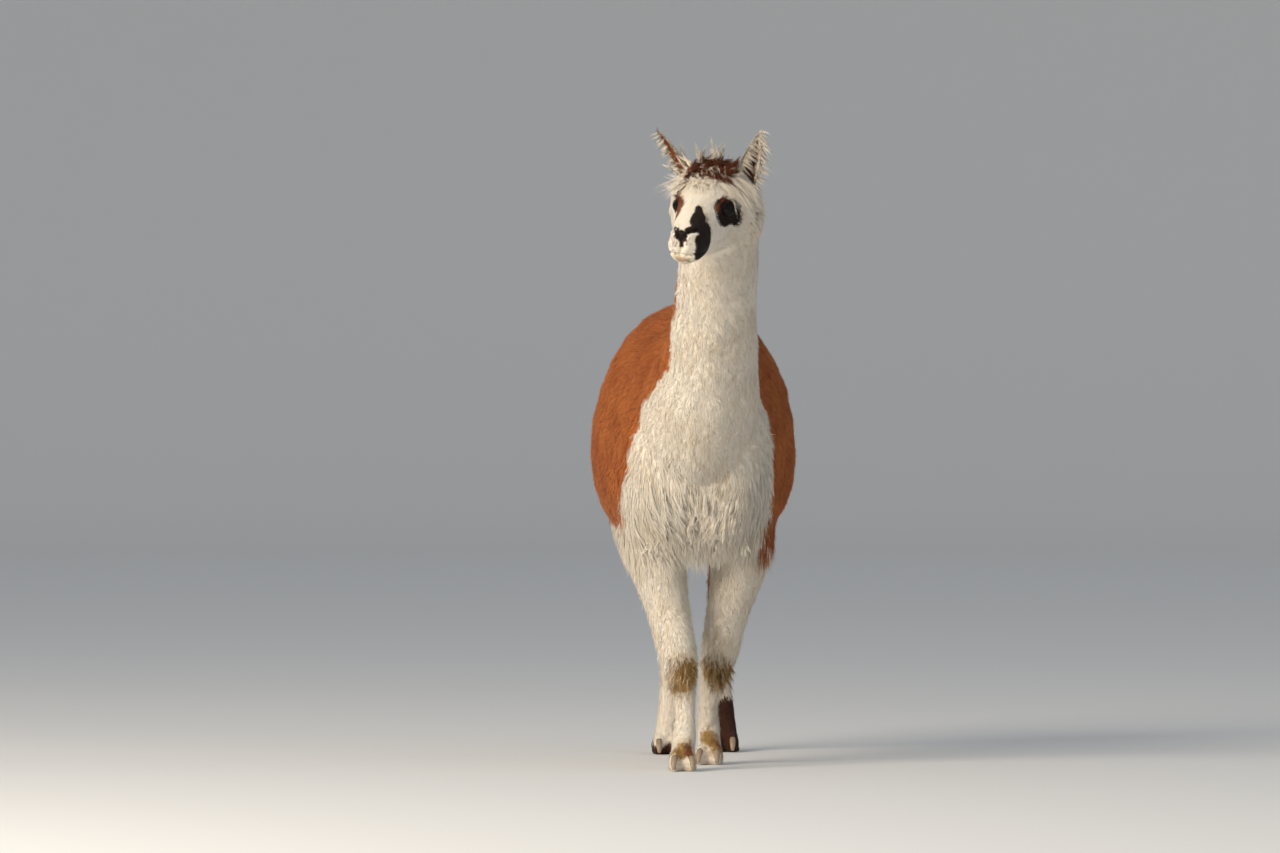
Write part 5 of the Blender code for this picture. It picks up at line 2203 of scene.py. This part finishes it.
@dataclass(frozen=True)
class HornFinish:
    """Pale horn with darker streaks along the nail.

    Attributes:
        pale: The horn's colour.
        deep: The streaks' colour.
        roughness: The horn's roughness.
        stretch: How closely the streaks follow each other along each axis.
        bump: How strong their relief is.
    """

    pale: Colour = (0.46, 0.35, 0.23, 1.0)
    deep: Colour = (0.16, 0.10, 0.06, 1.0)
    roughness: float = 0.45
    stretch: Place = (1.0, 0.25, 0.25)
    bump: float = 0.35

    def material(self) -> bpy.types.Material:
        """Builds the horn's material."""
        paint = Paint("nail_horn")
        drawn = paint.node("ShaderNodeMapping")
        drawn.inputs["Scale"].default_value = self.stretch
        paint.join(paint.place(), drawn.inputs["Vector"])
        grain = paint.noise(drawn.outputs[0], 700.0, 4.0)
        paint.surface(
            {
                "Base Color": paint.mix(grain, self.deep, self.pale),
                "Roughness": self.roughness,
                "Normal": paint.relief(grain, self.bump, 0.0006),
            }
        )
        return paint.material


@dataclass
class Nails:
    """The eight horn nails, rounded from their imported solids.

    Attributes:
        levels: How many times each nail's faces are divided.
    """

    levels: int = 2

    def build(self, material: bpy.types.Material) -> None:
        """Builds the nails.

        Args:
            material: The horn finish.
        """
        for name in NAILS:
            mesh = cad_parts[name].data.copy()
            with editing(mesh) as rounded:
                bmesh.ops.remove_doubles(rounded, verts=rounded.verts, dist=SAME_PLACE)
            piece = shown(f"{name}_horn", mesh)
            finer = piece.modifiers.new("round", "SUBSURF")
            finer.levels = self.levels
            finer.render_levels = self.levels
            applied(piece)
            mesh = piece.data
            shade_smooth(mesh)
            mesh.materials.clear()
            mesh.materials.append(material)
            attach(piece, ROOT_BODY)
            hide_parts(name)
        LOG.info("nails: rounded")


@dataclass(frozen=True)
class Lamp:
    """A soft square light that faces the animal."""

    name: str
    place: Place
    power: float
    size: float
    colour: Place

    def build(self) -> None:
        """Adds the light."""
        data = bpy.data.lights.new(self.name, "AREA")
        data.energy = self.power
        data.size = self.size
        data.color = self.colour
        lamp = bpy.data.objects.new(self.name, data)
        lamp.location = self.place
        aim = Vector((0.0, -0.1, 0.75)) - Vector(self.place)
        lamp.rotation_euler = aim.to_track_quat("-Z", "Y").to_euler()
        bpy.context.scene.collection.objects.link(lamp)


LAMPS = (
    Lamp("key", (-5.2, -5.4, 3.9), 660.0, 4.6, (1.0, 0.90, 0.76)),
    Lamp("fill", (5.0, -5.0, 2.5), 30.0, 1.5, (0.85, 0.92, 1.0)),
)


@dataclass
class Studio:
    """A pale floor that sweeps up into a wall all round, soft lights and the camera.

    Attributes:
        middle_radius: The radius of the floor's middle face.
        floor_radius: How far out the floor is level.
        sweep: The radius of its sweep up into the wall.
        sweep_steps: How many rows of faces the sweep has.
        wall: The wall's height.
        steps: How many faces go round.
        paper: The floor's colour.
        paper_roughness: The floor's roughness.
        camera_place: The camera's place.
        camera_dip: How far the camera looks down, in degrees.
        lens: The lens's focal length, in millimetres.
        sensor: The sensor's width, in millimetres.
        furthest: How far the camera sees, in metres.
        world_colour: The colour of the light from all round.
        world_strength: Its strength.
    """

    middle_radius: float = 4.0
    floor_radius: float = 20.0
    sweep: float = 4.0
    sweep_steps: int = 12
    wall: float = 8.0
    steps: int = 96
    paper: Colour = (0.82, 0.81, 0.79, 1.0)
    paper_roughness: float = 0.9
    camera_place: Place = (-0.116, -17.31, 0.861)
    camera_dip: float = 0.4505
    lens: float = 227.1
    sensor: float = 36.0
    furthest: float = 100.0
    world_colour: Colour = (0.86, 0.92, 1.0, 1.0)
    world_strength: float = 0.40

    def rings(self) -> list[tuple[float, float]]:
        """Returns the radius and height of each ring of the floor and wall, from the middle out."""
        made = [(self.middle_radius, 0.0), (self.floor_radius, 0.0)]
        for step in range(1, self.sweep_steps + 1):
            angle = math.pi / 2 * step / self.sweep_steps
            out = self.floor_radius + self.sweep * math.sin(angle)
            made.append((out, self.sweep * (1 - math.cos(angle))))
        made.append((self.floor_radius + self.sweep, self.wall))
        return made

    def stage(self) -> None:
        """Builds the floor and wall."""
        turns = [2 * math.pi * step / self.steps for step in range(self.steps)]
        mesh = bpy.data.meshes.new("studio_floor")
        with editing(mesh) as bowl:
            rows = [
                [bowl.verts.new((out * math.cos(turn), out * math.sin(turn), height)) for turn in turns]
                for out, height in self.rings()
            ]
            bowl.faces.new(rows[0])
            for low, high in zip(rows[:-1], rows[1:]):
                for step in range(self.steps):
                    after = (step + 1) % self.steps
                    bowl.faces.new((low[step], low[after], high[after], high[step]))
            bmesh.ops.recalc_face_normals(bowl, faces=bowl.faces)
        shade_smooth(mesh)
        floor = shown("studio_floor", mesh)
        paper = Paint("pale_paper")
        paper.surface({"Base Color": self.paper, "Roughness": self.paper_roughness})
        mesh.materials.append(paper.material)

    def build(self) -> None:
        """Builds the stage, lights, world and camera."""
        self.stage()
        for lamp in LAMPS:
            lamp.build()
        world = bpy.data.worlds.new("studio")
        world.use_nodes = True
        back = world.node_tree.nodes["Background"]
        back.inputs[0].default_value = self.world_colour
        back.inputs[1].default_value = self.world_strength
        bpy.context.scene.world = world
        bpy.context.scene.view_settings.view_transform = "Standard"
        data = bpy.data.cameras.new("camera")
        data.lens = self.lens
        data.sensor_width = self.sensor
        data.clip_end = self.furthest
        camera = bpy.data.objects.new("camera", data)
        camera.location = self.camera_place
        camera.rotation_euler = (math.radians(90.0 - self.camera_dip), 0.0, 0.0)
        bpy.context.scene.collection.objects.link(camera)
        bpy.context.scene.camera = camera
        LOG.info("studio: built")


def main() -> None:
    """Builds the alpaca and the studio, in order."""
    logging.basicConfig(level=logging.INFO, format="%(relativeCreated)d %(message)s")
    Studio().build()
    finish = WoolFinish()
    group = finish.group()
    wool = finish.material("wool", group, 0.25)
    hide = finish.material("hide", group, 0.8)
    skin = Skin().build()
    skin.data.materials.clear()
    skin.data.materials.append(hide)
    roots = Sower(skin.data).sow()
    LOG.info("roots: %d", len(roots))
    Coat().build(roots, wool)
    EyeBalls().build(EyeFinish().material())
    Nails().build(HornFinish().material())


if __name__ == "__main__":
    main()
